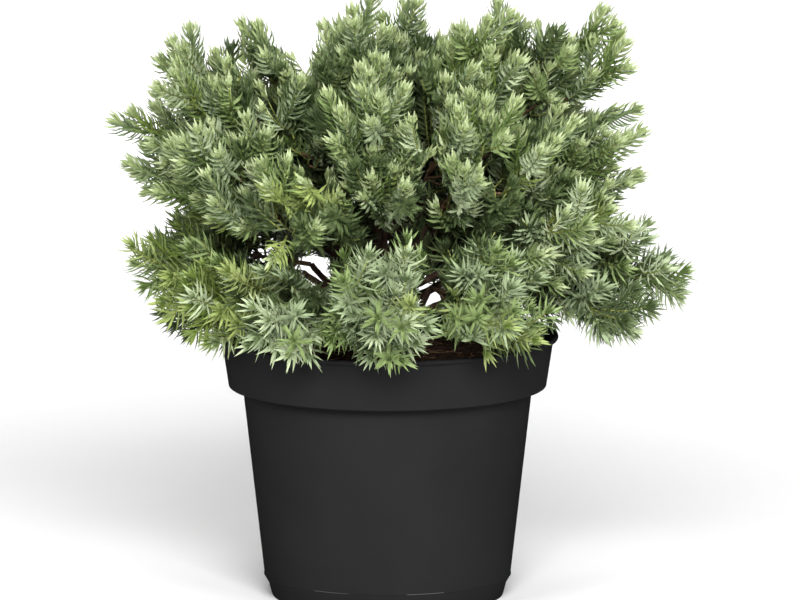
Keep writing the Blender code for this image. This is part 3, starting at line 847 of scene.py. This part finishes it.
def heading(bearing, climb):
    """The unit vector at a bearing and a climb in degrees."""
    level = math.cos(math.radians(climb))
    turn = math.radians(bearing)
    return Vector((level * math.cos(turn), level * math.sin(turn), math.sin(math.radians(climb))))


def along(mass, share):
    """The point at a share of the mass's reach from the fork."""
    return CROWN_FORK + heading(mass.bearing, mass.climb) * mass.reach * share


def on_trunk_tip(mass):
    return mass.name == "crown_tip"


def tier(mass):
    return (mass.climb >= LOW_TIER_CLIMB) + (mass.climb >= MIDDLE_TIER_CLIMB)


def whorl_height(mass):
    """Going round the trunk, the boughs of one tier leave it from its three whorls in turn.

    The last bough comes round to the first, and where the two are close it leaves from the next whorl.
    """
    level = [other for other in MASSES if tier(other) == tier(mass) and not on_trunk_tip(other)]
    neighbours = sorted(level, key=lambda other: (other.bearing - FIRST_BEARING) % 360)
    whorl = neighbours.index(mass) % WHORLS_IN_TIER
    to_first = (neighbours[0].bearing - mass.bearing) % 360
    if neighbours[-1] is mass and to_first < CLOSE_BEARING:
        whorl = max(whorl, 1)
    return LOWEST_WHORL + WHORL_STEP * (WHORLS_IN_TIER * tier(mass) + whorl)


def bough_points(mass, stations):
    """A bough's centre line: it leaves the trunk low and turns up towards its mass."""
    height = whorl_height(mass)
    root = trunk_point((height - TRUNK_FOOT.z) / (TRUNK_TIP.z - TRUNK_FOOT.z))
    tip = along(mass, BOUGH_SHARE)
    way = tip - root
    knee = root + Vector((way.x * KNEE_OUT, way.y * KNEE_OUT, way.z * KNEE_RISE))
    return [root * (1 - s) ** 2 + knee * 2 * s * (1 - s) + tip * s * s for s in evenly((0, 1), stations)]


def bough_radii(mass, stations):
    root = BOUGH_ROOT_RADII[tier(mass)]
    taper = (BOUGH_TIP_RADIUS - root) / (stations - 1)
    return [root + taper * step for step in range(stations)]


@cache
def limb_segments():
    """Every limb as short round segments, for keeping twigs clear of them."""
    points = [trunk_point(share) for share in TRUNK_STATIONS]
    radii = [trunk_radius(share) for share in TRUNK_STATIONS]
    limbs = [Limb(*limb) for limb in zip(points, points[1:], radii)]
    for mass in MASSES:
        if not on_trunk_tip(mass):
            points = bough_points(mass, BOUGH_STATIONS)
            limbs += [Limb(*limb) for limb in zip(points, points[1:], bough_radii(mass, BOUGH_STATIONS))]
    return limbs


@cache
def cell_planes(mass):
    """The flat sides of a mass's space: one against each other mass, and one over the pot.

    Each is the side's outward normal and its distance from the origin along that normal.
    """
    own = along(mass, CELL_SHARE)
    planes = []
    for other in MASSES:
        if other is mass:
            continue
        across = along(other, CELL_SHARE) - own
        middle = own + across / 2
        normal = across.normalized()
        planes.append((normal, middle.dot(normal) - CLEARANCE))
    down = -heading(mass.bearing, 90 - mass.fall)
    outward = heading(mass.bearing, 0)
    lip = outward * LIP_RADIUS + UP * (POT_HEIGHT + 2 * CLEARANCE)
    planes.append((down, lip.dot(down)))
    return planes


def inside(point, mass, margin):
    return all(point.dot(normal) <= distance - margin for normal, distance in cell_planes(mass))


def clear_of_limbs(point, margin):
    for start, end, radius in limb_segments():
        _, share = intersect_point_line(point, start, end)
        nearest = start.lerp(end, min(1, max(0, share)))
        if (point - nearest).length < radius + margin:
            return False
    return True


def clear_of_windows(point, margin, windows=WINDOWS):
    """Whether a point stays off the lines of sight that open the crown."""
    sight = Vector((0, math.cos(VIEW_CLIMB), -math.sin(VIEW_CLIMB)))
    for window in windows:
        off = point - Vector((window.x, 0, window.z))
        if (off - sight * off.dot(sight)).length < window.radius + margin:
            return False
    return True


def spray_fits(root, tip, mass):
    spots = [root.lerp(tip, share) for share in SPRAY_SPOTS]
    return all(
        inside(spot, mass, SPINDLE_MARGIN)
        and clear_of_limbs(spot, SPINDLE_MARGIN + LIMB_MARGIN)
        and clear_of_windows(spot, SPINDLE_MARGIN)
        for spot in spots
    )


def spray_of(mass, offset, turn, reach):
    """A spray whose tip stands off the mass's middle line by an offset, at a turn round that line."""
    ahead = heading(mass.bearing, mass.climb)
    across = ahead.orthogonal().normalized()
    side = turned(across, ahead.cross(across), turn)
    outward = (ahead + side * offset / mass.reach).normalized()
    tip = CROWN_FORK + outward * reach
    way = (outward + side * FAN_OUT * offset / SPREAD + UP * mass.lift).normalized()
    return Spray(tip - way * SPRAY_LENGTH, tip)


def side_twig(mass, root):
    """The twig to a spray's root, which leaves the stem below it by about what the root stands off."""
    ahead = heading(mass.bearing, mass.climb)
    rise = (root - CROWN_FORK).dot(ahead)
    offset = (root - CROWN_FORK - ahead * rise).length
    lowest = mass.reach * (BOUGH_SHARE + LOWEST_JOIN)
    highest = mass.reach * (STEM_SHARE - HIGHEST_JOIN)
    join = CROWN_FORK + ahead * min(highest, max(lowest, rise - TWIG_JOIN_SLOPE * offset))
    return Twig(join, root, TWIG_RADIUS, TWIG_TIP_RADIUS)


def placed_spray(mass, offset, turn, reach):
    """A spray drawn in towards the middle line until it fits, or none."""
    for attempt in range(TRIES):
        spray = spray_of(mass, offset * TRY_PULL**attempt, turn, reach)
        if spray_fits(*spray, mass):
            return spray
    return None


def grow(mass):
    """The twigs and sprays of one mass: a stem that ends in a spray, with side twigs that each carry one.

    The tips are spread over the mass's outer face like the seeds of a flower head.
    """
    rng = random.Random(mass.name)
    base = trunk_point(1) if on_trunk_tip(mass) else along(mass, BOUGH_SHARE)
    end = along(mass, STEM_SHARE)
    ahead = (end - base).normalized()
    start = base + ahead * (CLEARANCE + STEM_RADIUS * STEM_END_ROOM)
    twigs = [Twig(start, end, STEM_RADIUS, TWIG_RADIUS)]
    sprays = [Spray(end - ahead * SPRAY_SINK, along(mass, 1))]
    first_turn = rng.uniform(0, math.tau)
    for index in range(1, mass.sprays):
        share = index / (mass.sprays - 1)
        turn = first_turn + index * GOLDEN_ANGLE + rng.uniform(-TURN_JITTER, TURN_JITTER)
        reach = mass.reach * (1 - EDGE_DROP * share * rng.uniform(*EDGE_DROP_RANGE))
        spray = placed_spray(mass, SPREAD * math.sqrt(share), turn, reach)
        if spray:
            way = (spray.tip - spray.root).normalized()
            twigs.append(side_twig(mass, spray.root))
            sprays.append(Spray(spray.root - way * SPRAY_SINK, spray.tip))
    return twigs, sprays


# Finer growth


def grow_inside(mass):
    """More twigs and sprays by the same rule, nearer to the fork, which fill the inside of the mass."""
    rng = random.Random(mass.name + " inside")
    twigs, sprays = [], []
    first_turn = rng.uniform(0, math.tau)
    for index in range(INNER_SPRAYS):
        turn = first_turn + index * GOLDEN_ANGLE
        reach = mass.reach * rng.uniform(*INNER_REACH)
        offset = INNER_SPREAD * math.sqrt((index + 0.5) / INNER_SPRAYS)
        spray = placed_spray(mass, offset, turn, reach)
        if spray and spray.tip.z > LOWEST_TIP:
            twigs.append(side_twig(mass, spray.root))
            sprays.append(spray)
    return twigs, sprays


def openness(mass):
    """From 0 for tight upright shoots at the top of the crown to 1 for open ones at its skirt."""
    return min(1, max(0, (TIGHT_CLIMB - mass.climb) / (TIGHT_CLIMB - OPEN_CLIMB)))


def pick(mix, rng):
    """A name from a list of names and weights."""
    names, weights = zip(*mix)
    return rng.choices(names, weights)[0]


def kind_for(tip, mix, rng):
    """A kind from a mix, of which the deepest painted shade grows only near the fork, and gives way to the
    dim painted shade further out.
    """
    kind = pick(mix, rng)
    return "dim" if kind == "deep" and (tip - CROWN_FORK).length > PAINTED_SHADE_REACH else kind


def turned_up(tip):
    """A shoot's tip, raised to where shoots turn up over the rim."""
    return Vector((tip.x, tip.y, max(tip.z, LOWEST_TIP)))


def in_the_leafy_part(root, tip):
    """Whether a shoot keeps off the clefts and the smaller openings."""
    spots = (root.lerp(tip, 0.5), tip)
    off_clefts = all(clear_of_clefts(np.array(spots)))
    return off_clefts and all(clear_of_windows(spot, 0, GLIMPSES) for spot in spots)


def shoot_fits(root, tip, mass):
    spots = (root.lerp(tip, 0.5), tip)
    return in_the_leafy_part(root, tip) and all(
        inside(spot, mass, -CELL_CROSSING)
        and clear_of_limbs(spot, SHOOT_LIMB_MARGIN)
        and clear_of_windows(spot, SHOOT_LIMB_MARGIN)
        for spot in spots
    )


def shoots_of(spray, mass, count, mix, rng):
    """The shoots of one spray: its own end, and side shoots that leave it in turn and stand up a little."""
    way = spray.tip - spray.root
    ahead = way.normalized()
    open_share = openness(mass)
    end = Shoot(spray.root, turned_up(spray.tip), kind_for(spray.tip, mix, rng), open_share)
    shoots = [end] if in_the_leafy_part(end.root, end.tip) else []
    first_turn = rng.uniform(0, math.tau)
    low, high = SIDE_STATIONS
    for index in range(count):
        turn = first_turn + index * GOLDEN_ANGLE + rng.uniform(-TURN_JITTER, TURN_JITTER)
        lean = math.radians(rng.uniform(*SIDE_LEAN))
        aim = leaning(ahead, turn, lean) + UP * SIDE_LIFT * mass.lift
        root = spray.root + way * (low + (high - low) * index / (count - 1))
        tip = turned_up(root + aim.normalized() * rng.uniform(*SIDE_LENGTH))
        if shoot_fits(root, tip, mass):
            shoots.append(Shoot(root, tip, kind_for(tip, mix, rng), open_share))
    return shoots


def stem_spots(mass):
    """Where spurs leave the stem, from the bough's tip outwards, and the way ahead there."""
    ahead = heading(mass.bearing, mass.climb)
    return [(along(mass, share), ahead) for share in evenly(SPUR_STATIONS, SPURS)]


def bough_spots(mass):
    """The same for the outer part of the bough."""
    points = bough_points(mass, BOUGH_RINGS)
    rings = [int((BOUGH_RINGS - 1) * share) for share in evenly(BOUGH_SPUR_STATIONS, BOUGH_SPURS)]
    return [(points[ring], (points[ring] - points[ring - 1]).normalized()) for ring in rings]


def spurs_of(mass, limb, spots, lengths):
    """Short shoots straight on the stem or bough, mostly in dark needles of painted shade, which fill the
    inside and close the crown.
    """
    rng = random.Random(f"{mass.name} {limb}")
    first_turn = rng.uniform(0, math.tau)
    spurs = []
    for index, (root, ahead) in enumerate(spots):
        lean = math.radians(rng.uniform(*SPUR_LEAN))
        way = leaning(ahead, first_turn + index * GOLDEN_ANGLE, lean)
        tip = root + way * rng.uniform(*lengths)
        if shoot_fits(root, tip, mass):
            spurs.append(Shoot(root, tip, kind_for(tip, SPUR_MIX, rng), openness(mass)))
    return spurs


def foliage_of(mass):
    """All twigs and shoots of one mass."""
    twigs, sprays = grow(mass)
    inner_twigs, inner_sprays = grow_inside(mass)
    shoots = spurs_of(mass, "stem", stem_spots(mass), SPUR_LENGTH)
    if not on_trunk_tip(mass):
        shoots += spurs_of(mass, "bough", bough_spots(mass), BOUGH_SPUR_LENGTH)
    rng = random.Random(mass.name + " fine")
    outer_mix = MIX_OF_MASS.get(mass.name, OUTER_MIX)
    for spray in sprays:
        shoots += shoots_of(spray, mass, SIDE_SHOOTS, outer_mix, rng)
    for spray in inner_sprays:
        shoots += shoots_of(spray, mass, INNER_SIDE_SHOOTS, INNER_MIX, rng)
    return twigs + inner_twigs, shoots


# Needles


def axis_point(shoot, share):
    """A point on a shoot's centre line, which sags in the middle so that its end turns up."""
    length = (shoot.tip - shoot.root).length
    return shoot.root.lerp(shoot.tip, share) - UP * length * SAG * 4 * share * (1 - share)


def axis_points(shoot, shares):
    """The same for an array of shares, with the direction of the line there."""
    root, tip = np.array(shoot.root), np.array(shoot.tip)
    length = np.linalg.norm(tip - root)
    sag = np.zeros((len(shares), 3))
    sag[:, 2] = -length * SAG * 4 * shares * (1 - shares)
    slope = np.zeros((len(shares), 3))
    slope[:, 2] = -length * SAG * 4 * (1 - 2 * shares)
    ahead = (tip - root)[None, :] + slope
    ahead /= np.linalg.norm(ahead, axis=1)[:, None]
    return root + (tip - root)[None, :] * shares[:, None] + sag, ahead


def whorls(shoot, draw):
    """Where needles stand on a shoot: their shares of its length, turns, leans and lengths."""
    length = (shoot.tip - shoot.root).length
    spacing = between(WHORL_SPACING, shoot.openness)
    count = max(FEWEST_WHORLS, int(length * (1 - BARE_ROOT) / spacing))
    share = np.repeat(BARE_ROOT + (1 - BARE_ROOT) * (np.arange(count) + 0.5) / count, NEEDLES_IN_WHORL)
    whorl = np.repeat(np.arange(count), NEEDLES_IN_WHORL)
    turn = (whorl / 2 + np.tile(np.arange(NEEDLES_IN_WHORL), count)) * math.tau / NEEDLES_IN_WHORL
    turn = turn + draw.uniform(-NEEDLE_TURN_JITTER, NEEDLE_TURN_JITTER, len(turn)) + draw.uniform(0, math.tau)
    leans = (between(LEAN_AT_ROOT, shoot.openness), between(LEAN_AT_TIP, shoot.openness))
    lean = between(leans, share**LEAN_EASE) + draw.uniform(-LEAN_JITTER, LEAN_JITTER, len(share))
    size = np.where(share > END_PART, 1 - (share - END_PART) * END_TAPER, 1.0)
    size = size * np.where(share < ROOT_PART, ROOT_NEEDLE_SHARE, 1.0)
    tip_lean = np.linspace(*TIP_LEAN, TIP_NEEDLES) * (1 + TIP_OPENING * shoot.openness)
    share = np.concatenate((share, np.full(TIP_NEEDLES, TIP_STATION)))
    turn = np.concatenate((turn, np.arange(TIP_NEEDLES) * GOLDEN_ANGLE))
    lean = np.concatenate((lean, tip_lean))
    size = np.concatenate((size, np.linspace(*TIP_NEEDLE_SHARE, TIP_NEEDLES)))
    size = size * (1 + draw.uniform(-LENGTH_JITTER, LENGTH_JITTER, len(share)))
    return share, turn, np.radians(lean), size * between(NEEDLE_LENGTH, shoot.openness)


def needles_of(shoot, draw):
    """The corners of every needle of a shoot: three at its foot, three at its middle and its tip."""
    share, turn, lean, length = whorls(shoot, draw)
    spot, ahead = axis_points(shoot, share)
    across = np.cross(ahead, np.array(UP))
    across /= np.linalg.norm(across, axis=1)[:, None]
    other = np.cross(ahead, across)
    out = turned_rows(across, other, turn)
    wide = np.cross(ahead, out)
    curl = math.radians(between(NEEDLE_CURL, shoot.openness))
    foot = spot + out * SHOOT_STEM_RADII[0] / 2
    middle = foot + turned_rows(ahead, out, lean + curl / 2) * (length * MIDDLE_SHARE)[:, None]
    tip = middle + turned_rows(ahead, out, lean - curl / 2) * (length * (1 - MIDDLE_SHARE))[:, None]
    back = turned_rows(out, -ahead, lean)
    roll = draw.uniform(-ROLL_JITTER, ROLL_JITTER, len(share))
    wide, under = turned_rows(wide, back, roll), turned_rows(back, -wide, roll)
    corners = np.empty((len(share), NEEDLE_CORNERS, 3))
    width = between(NEEDLE_WIDTH, shoot.openness)
    for base, centre, scale in ((0, foot, BASE_WIDTH_SHARE), (3, middle, 1)):
        corners[:, base] = centre - wide * width * scale / 2
        corners[:, base + 1] = centre + wide * width * scale / 2
        corners[:, base + 2] = centre + under * width * scale * KEEL_DEPTH
    corners[:, 6] = tip
    return corners, share


def needles_clear(corners, mass):
    """Which needles stay in their mass's space, off the pot and the peat, and out of the openings."""
    keep = np.ones(len(corners), bool)
    middle = corners[:, 3:6].mean(axis=1)
    tip = corners[:, 6]
    for spot in (middle, (middle + tip) / 2, tip):
        for normal, distance in cell_planes(mass)[:-1]:
            keep &= spot @ np.array(normal) <= distance + CELL_CROSSING
        radius = np.hypot(spot[:, 0], spot[:, 1])
        near_lip = radius < LIP_RADIUS + ROOM_ROUND_LIP
        in_wall = (radius > SOIL_RADIUS - ROOM_ROUND_LIP) & (spot[:, 2] < POT_HEIGHT + ROOM_ROUND_LIP)
        keep &= ~(near_lip & in_wall)
        keep &= ~(near_lip & (spot[:, 2] < SOIL_LEVEL + ROOM_OVER_PEAT))
        keep &= clear_sight(spot) & clear_of_clefts(spot)
    return keep


def clear_of_clefts(spots):
    """Which of an array of points stay out of the clefts."""
    rise = spots[:, 2] + spots[:, 1] * math.tan(VIEW_CLIMB)
    clear = np.ones(len(spots), bool)
    for cleft in CLEFTS:
        run, climb = cleft.end_x - cleft.start_x, cleft.end_z - cleft.start_z
        x, z = spots[:, 0] - cleft.start_x, rise - cleft.start_z
        share = np.clip((x * run + z * climb) / (run**2 + climb**2), 0, 1)
        off = np.hypot(x - share * run, z - share * climb)
        clear &= (off > cleft.half_width) | (spots[:, 1] > cleft.depth)
    return clear


def clear_sight(spots):
    """Which of an array of points stay off the lines of sight that open the crown."""
    sight = np.array((0, math.cos(VIEW_CLIMB), -math.sin(VIEW_CLIMB)))
    ragged = 1 + OPENING_RAGGED * np.sin(np.arange(len(spots)) * GOLDEN_ANGLE)
    clear = np.ones(len(spots), bool)
    for window in WINDOWS + GLIMPSES:
        off = spots - np.array((window.x, 0, window.z))
        off = off - (off @ sight)[:, None] * sight
        clear &= np.linalg.norm(off, axis=1) > window.radius * ragged
    return clear


# Corners of a needle's triangles: three on the waxy upper side, six on the keel and one at the foot
UPPER_FACES = ((0, 1, 4), (0, 4, 3), (3, 4, 6))
LOWER_FACES = ((0, 3, 5), (0, 5, 2), (3, 6, 5), (1, 2, 5), (1, 5, 4), (4, 5, 6), (0, 2, 1))
NEEDLE_FACES = np.array(UPPER_FACES + LOWER_FACES)


def build_needles(name, masses, foliage, surfaces):
    """One piece with all needles of some masses, coloured by shoot, with pale new needles at the tips."""
    kinds = list(NEEDLE_KINDS)
    all_corners, all_kinds = [], []
    for mass in masses:
        draw = np.random.default_rng(random.Random(mass.name + " needles").randrange(2**32))
        for shoot in foliage[mass.name][1]:
            corners, share = needles_of(shoot, draw)
            kind = np.full(len(share), kinds.index(shoot.kind))
            if shoot.kind not in SHADED_KINDS:
                place = share + draw.uniform(-PALE_JITTER, PALE_JITTER, len(share))
                kind[place > between(PALE_FROM, shoot.openness)] = kinds.index("pale")
            keep = needles_clear(corners, mass)
            all_corners.append(corners[keep])
            all_kinds.append(kind[keep])
    corners = np.concatenate(all_corners)
    kind = np.concatenate(all_kinds)
    shift = np.arange(len(corners))[:, None, None] * NEEDLE_CORNERS
    triangles = (NEEDLE_FACES[None] + shift).reshape(-1, 3)
    lower = np.array([0] * len(UPPER_FACES) + [1] * len(LOWER_FACES))
    material_index = (kind[:, None] * 2 + lower[None]).ravel()
    mesh = mesh_of(name, corners.reshape(-1, 3), triangles, surfaces, material_index)
    piece = new_object(name, mesh)
    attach(piece, "root")
    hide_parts(*[mass.name for mass in masses])


def needle_surfaces():
    """Two plain materials for each kind of shoot, in the order of the kinds."""
    made = []
    for name, (upper, lower) in NEEDLE_KINDS.items():
        made.append(plain_material(f"{name}_needle_upper", upper, roughness=0.55, specular=0.35))
        made.append(plain_material(f"{name}_needle_lower", lower, roughness=0.45, specular=0.45))
    return made


# Twigs and limbs


def build_twigs(foliage):
    """Woody twigs in one piece, and the thin green stems of the shoots in another."""
    woody, green = [], []
    stem_radii = [between(SHOOT_STEM_RADII, share) for share in SHOOT_STEM_TAPER]
    for twigs, shoots in foliage.values():
        for twig in twigs:
            points = [twig.start.lerp(twig.end, share) for share in TWIG_STATIONS]
            radii = [between((twig.start_radius, twig.end_radius), share) for share in TWIG_STATIONS]
            woody.append(tube_arrays(points, radii, TWIG_SIDES))
        for shoot in shoots:
            points = [axis_point(shoot, share) for share in SHOOT_STEM_STATIONS]
            green.append(tube_arrays(points, stem_radii, SHOOT_STEM_SIDES))
    surfaces = {
        "twigs": (woody, twig_material("young_bark", (0.07, 0.038, 0.020), (0.16, 0.095, 0.050))),
        "shoot_stems": (green, twig_material("green_stem", (0.12, 0.145, 0.030), (0.26, 0.285, 0.070))),
    }
    for name, (parts, surface) in surfaces.items():
        piece = tube_object(name, joined(parts), surface)
        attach(piece, "root")


def bark_stand(point, way):
    """How far the bark stands proud at a point: long plates with cracks between them."""
    flow = Vector((point.x * BARK_SCALE.x, point.y * BARK_SCALE.y, point.z * BARK_SCALE.z))
    plates = noise.fractal(flow, *PLATE_FRACTAL)
    return BARK_RELIEF * plates + BARK_RELIEF * PATCH_SHARE * noise.noise(flow * PATCH_SCALE + way)


def relief_tube(points, radii, sides):
    """A limb whose surface carries the bark's relief."""
    vertices, triangles = tube_arrays(points, radii, sides)
    for index, vertex in enumerate(vertices):
        ring = index // sides
        out = vertex - points[ring]
        way = Vector((ring * RING_SHIFT, 0, 0))
        vertices[index] = points[ring] + out * (1 + bark_stand(vertex, way))
    return vertices, triangles


def build_limbs():
    """The trunk in one piece of bark, and all boughs in another."""
    surface = bark_material()
    shares = evenly((0, 1), TRUNK_RINGS)
    points = [trunk_point(share) for share in shares]
    radii = [trunk_radius(share) for share in shares]
    trunk = tube_object("trunk_bark", relief_tube(points, radii, TRUNK_SIDES), surface)
    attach(trunk, "root")
    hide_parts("trunk")
    bearers = [mass for mass in MASSES if not on_trunk_tip(mass)]
    parts = []
    for mass in bearers:
        points = bough_points(mass, BOUGH_RINGS)
        parts.append(relief_tube(points, bough_radii(mass, BOUGH_RINGS), BOUGH_SIDES))
    boughs = tube_object("bough_bark", joined(parts), surface)
    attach(boughs, "root")
    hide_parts(*[mass.name + "_bough" for mass in bearers])


# Stage


def build_floor():
    bm = bmesh.new()
    bmesh.ops.create_grid(bm, x_segments=1, y_segments=1, size=FLOOR_SIZE)
    floor = new_object("floor", mesh_from(bm, "floor"))
    surface = plain_material("pale_floor", (0.93, 0.93, 0.93), roughness=0.9, specular=0.1)
    floor.data.materials.append(surface)


def build_lights():
    """Soft studio light: a large front light from above, weaker side and top lights, and one behind."""
    for box in SOFTBOXES:
        light = bpy.data.lights.new(box.name, "AREA")
        light.spread = math.radians(box.spread)
        light.shape = "RECTANGLE"
        light.size = box.width
        light.size_y = box.height
        light.energy = box.power
        made = new_object(box.name, light)
        made.location = box.place
        made.rotation_euler = (box.target - Vector(box.place)).to_track_quat("-Z", "Y").to_euler()
        made.visible_camera = False


def build_world():
    """White to the camera, and a dim even fill to everything else."""
    world = bpy.data.worlds.new("studio")
    bpy.context.scene.world = world
    world.use_nodes = True
    tree = world.node_tree
    output = tree.nodes["World Output"]
    fill = tree.nodes["Background"]
    backdrop = tree.nodes.new("ShaderNodeBackground")
    for background, strength in ((fill, FILL_STRENGTH), (backdrop, 1)):
        background.inputs["Color"].default_value = (1, 1, 1, 1)
        background.inputs["Strength"].default_value = strength
    path = tree.nodes.new("ShaderNodeLightPath")
    mix = tree.nodes.new("ShaderNodeMixShader")
    tree.links.new(path.outputs["Is Camera Ray"], mix.inputs["Fac"])
    tree.links.new(fill.outputs["Background"], mix.inputs[1])
    tree.links.new(backdrop.outputs["Background"], mix.inputs[2])
    tree.links.new(mix.outputs["Shader"], output.inputs["Surface"])


def build_camera():
    """A long lens a little above the rim, aimed so that the pot and crown fall as in the photograph."""
    data = bpy.data.cameras.new("camera")
    data.sensor_width = SENSOR_WIDTH
    data.lens = SENSOR_WIDTH * CAMERA_DISTANCE / (PHOTO_WIDTH * METRES_PER_PIXEL)
    data.clip_start = 0.1
    data.clip_end = 100
    camera = new_object("camera", data)
    back = Vector((0, -math.cos(VIEW_CLIMB), math.sin(VIEW_CLIMB)))
    camera.location = CAMERA_TARGET + back * CAMERA_DISTANCE
    camera.rotation_euler = (-back).to_track_quat("-Z", "Y").to_euler()
    bpy.context.scene.camera = camera


def build():
    build_pot()
    peat = build_peat()
    build_chips(peat)
    build_fibres()
    build_limbs()
    foliage = {mass.name: foliage_of(mass) for mass in MASSES}
    surfaces = needle_surfaces()
    waiting = list(MASSES)
    for name, count in NEEDLE_PIECES:
        build_needles(name, waiting[:count], foliage, surfaces)
        waiting = waiting[count:]
    build_twigs(foliage)
    build_floor()
    build_lights()
    build_world()
    build_camera()
    bpy.context.scene.view_settings.view_transform = "Standard"


build()
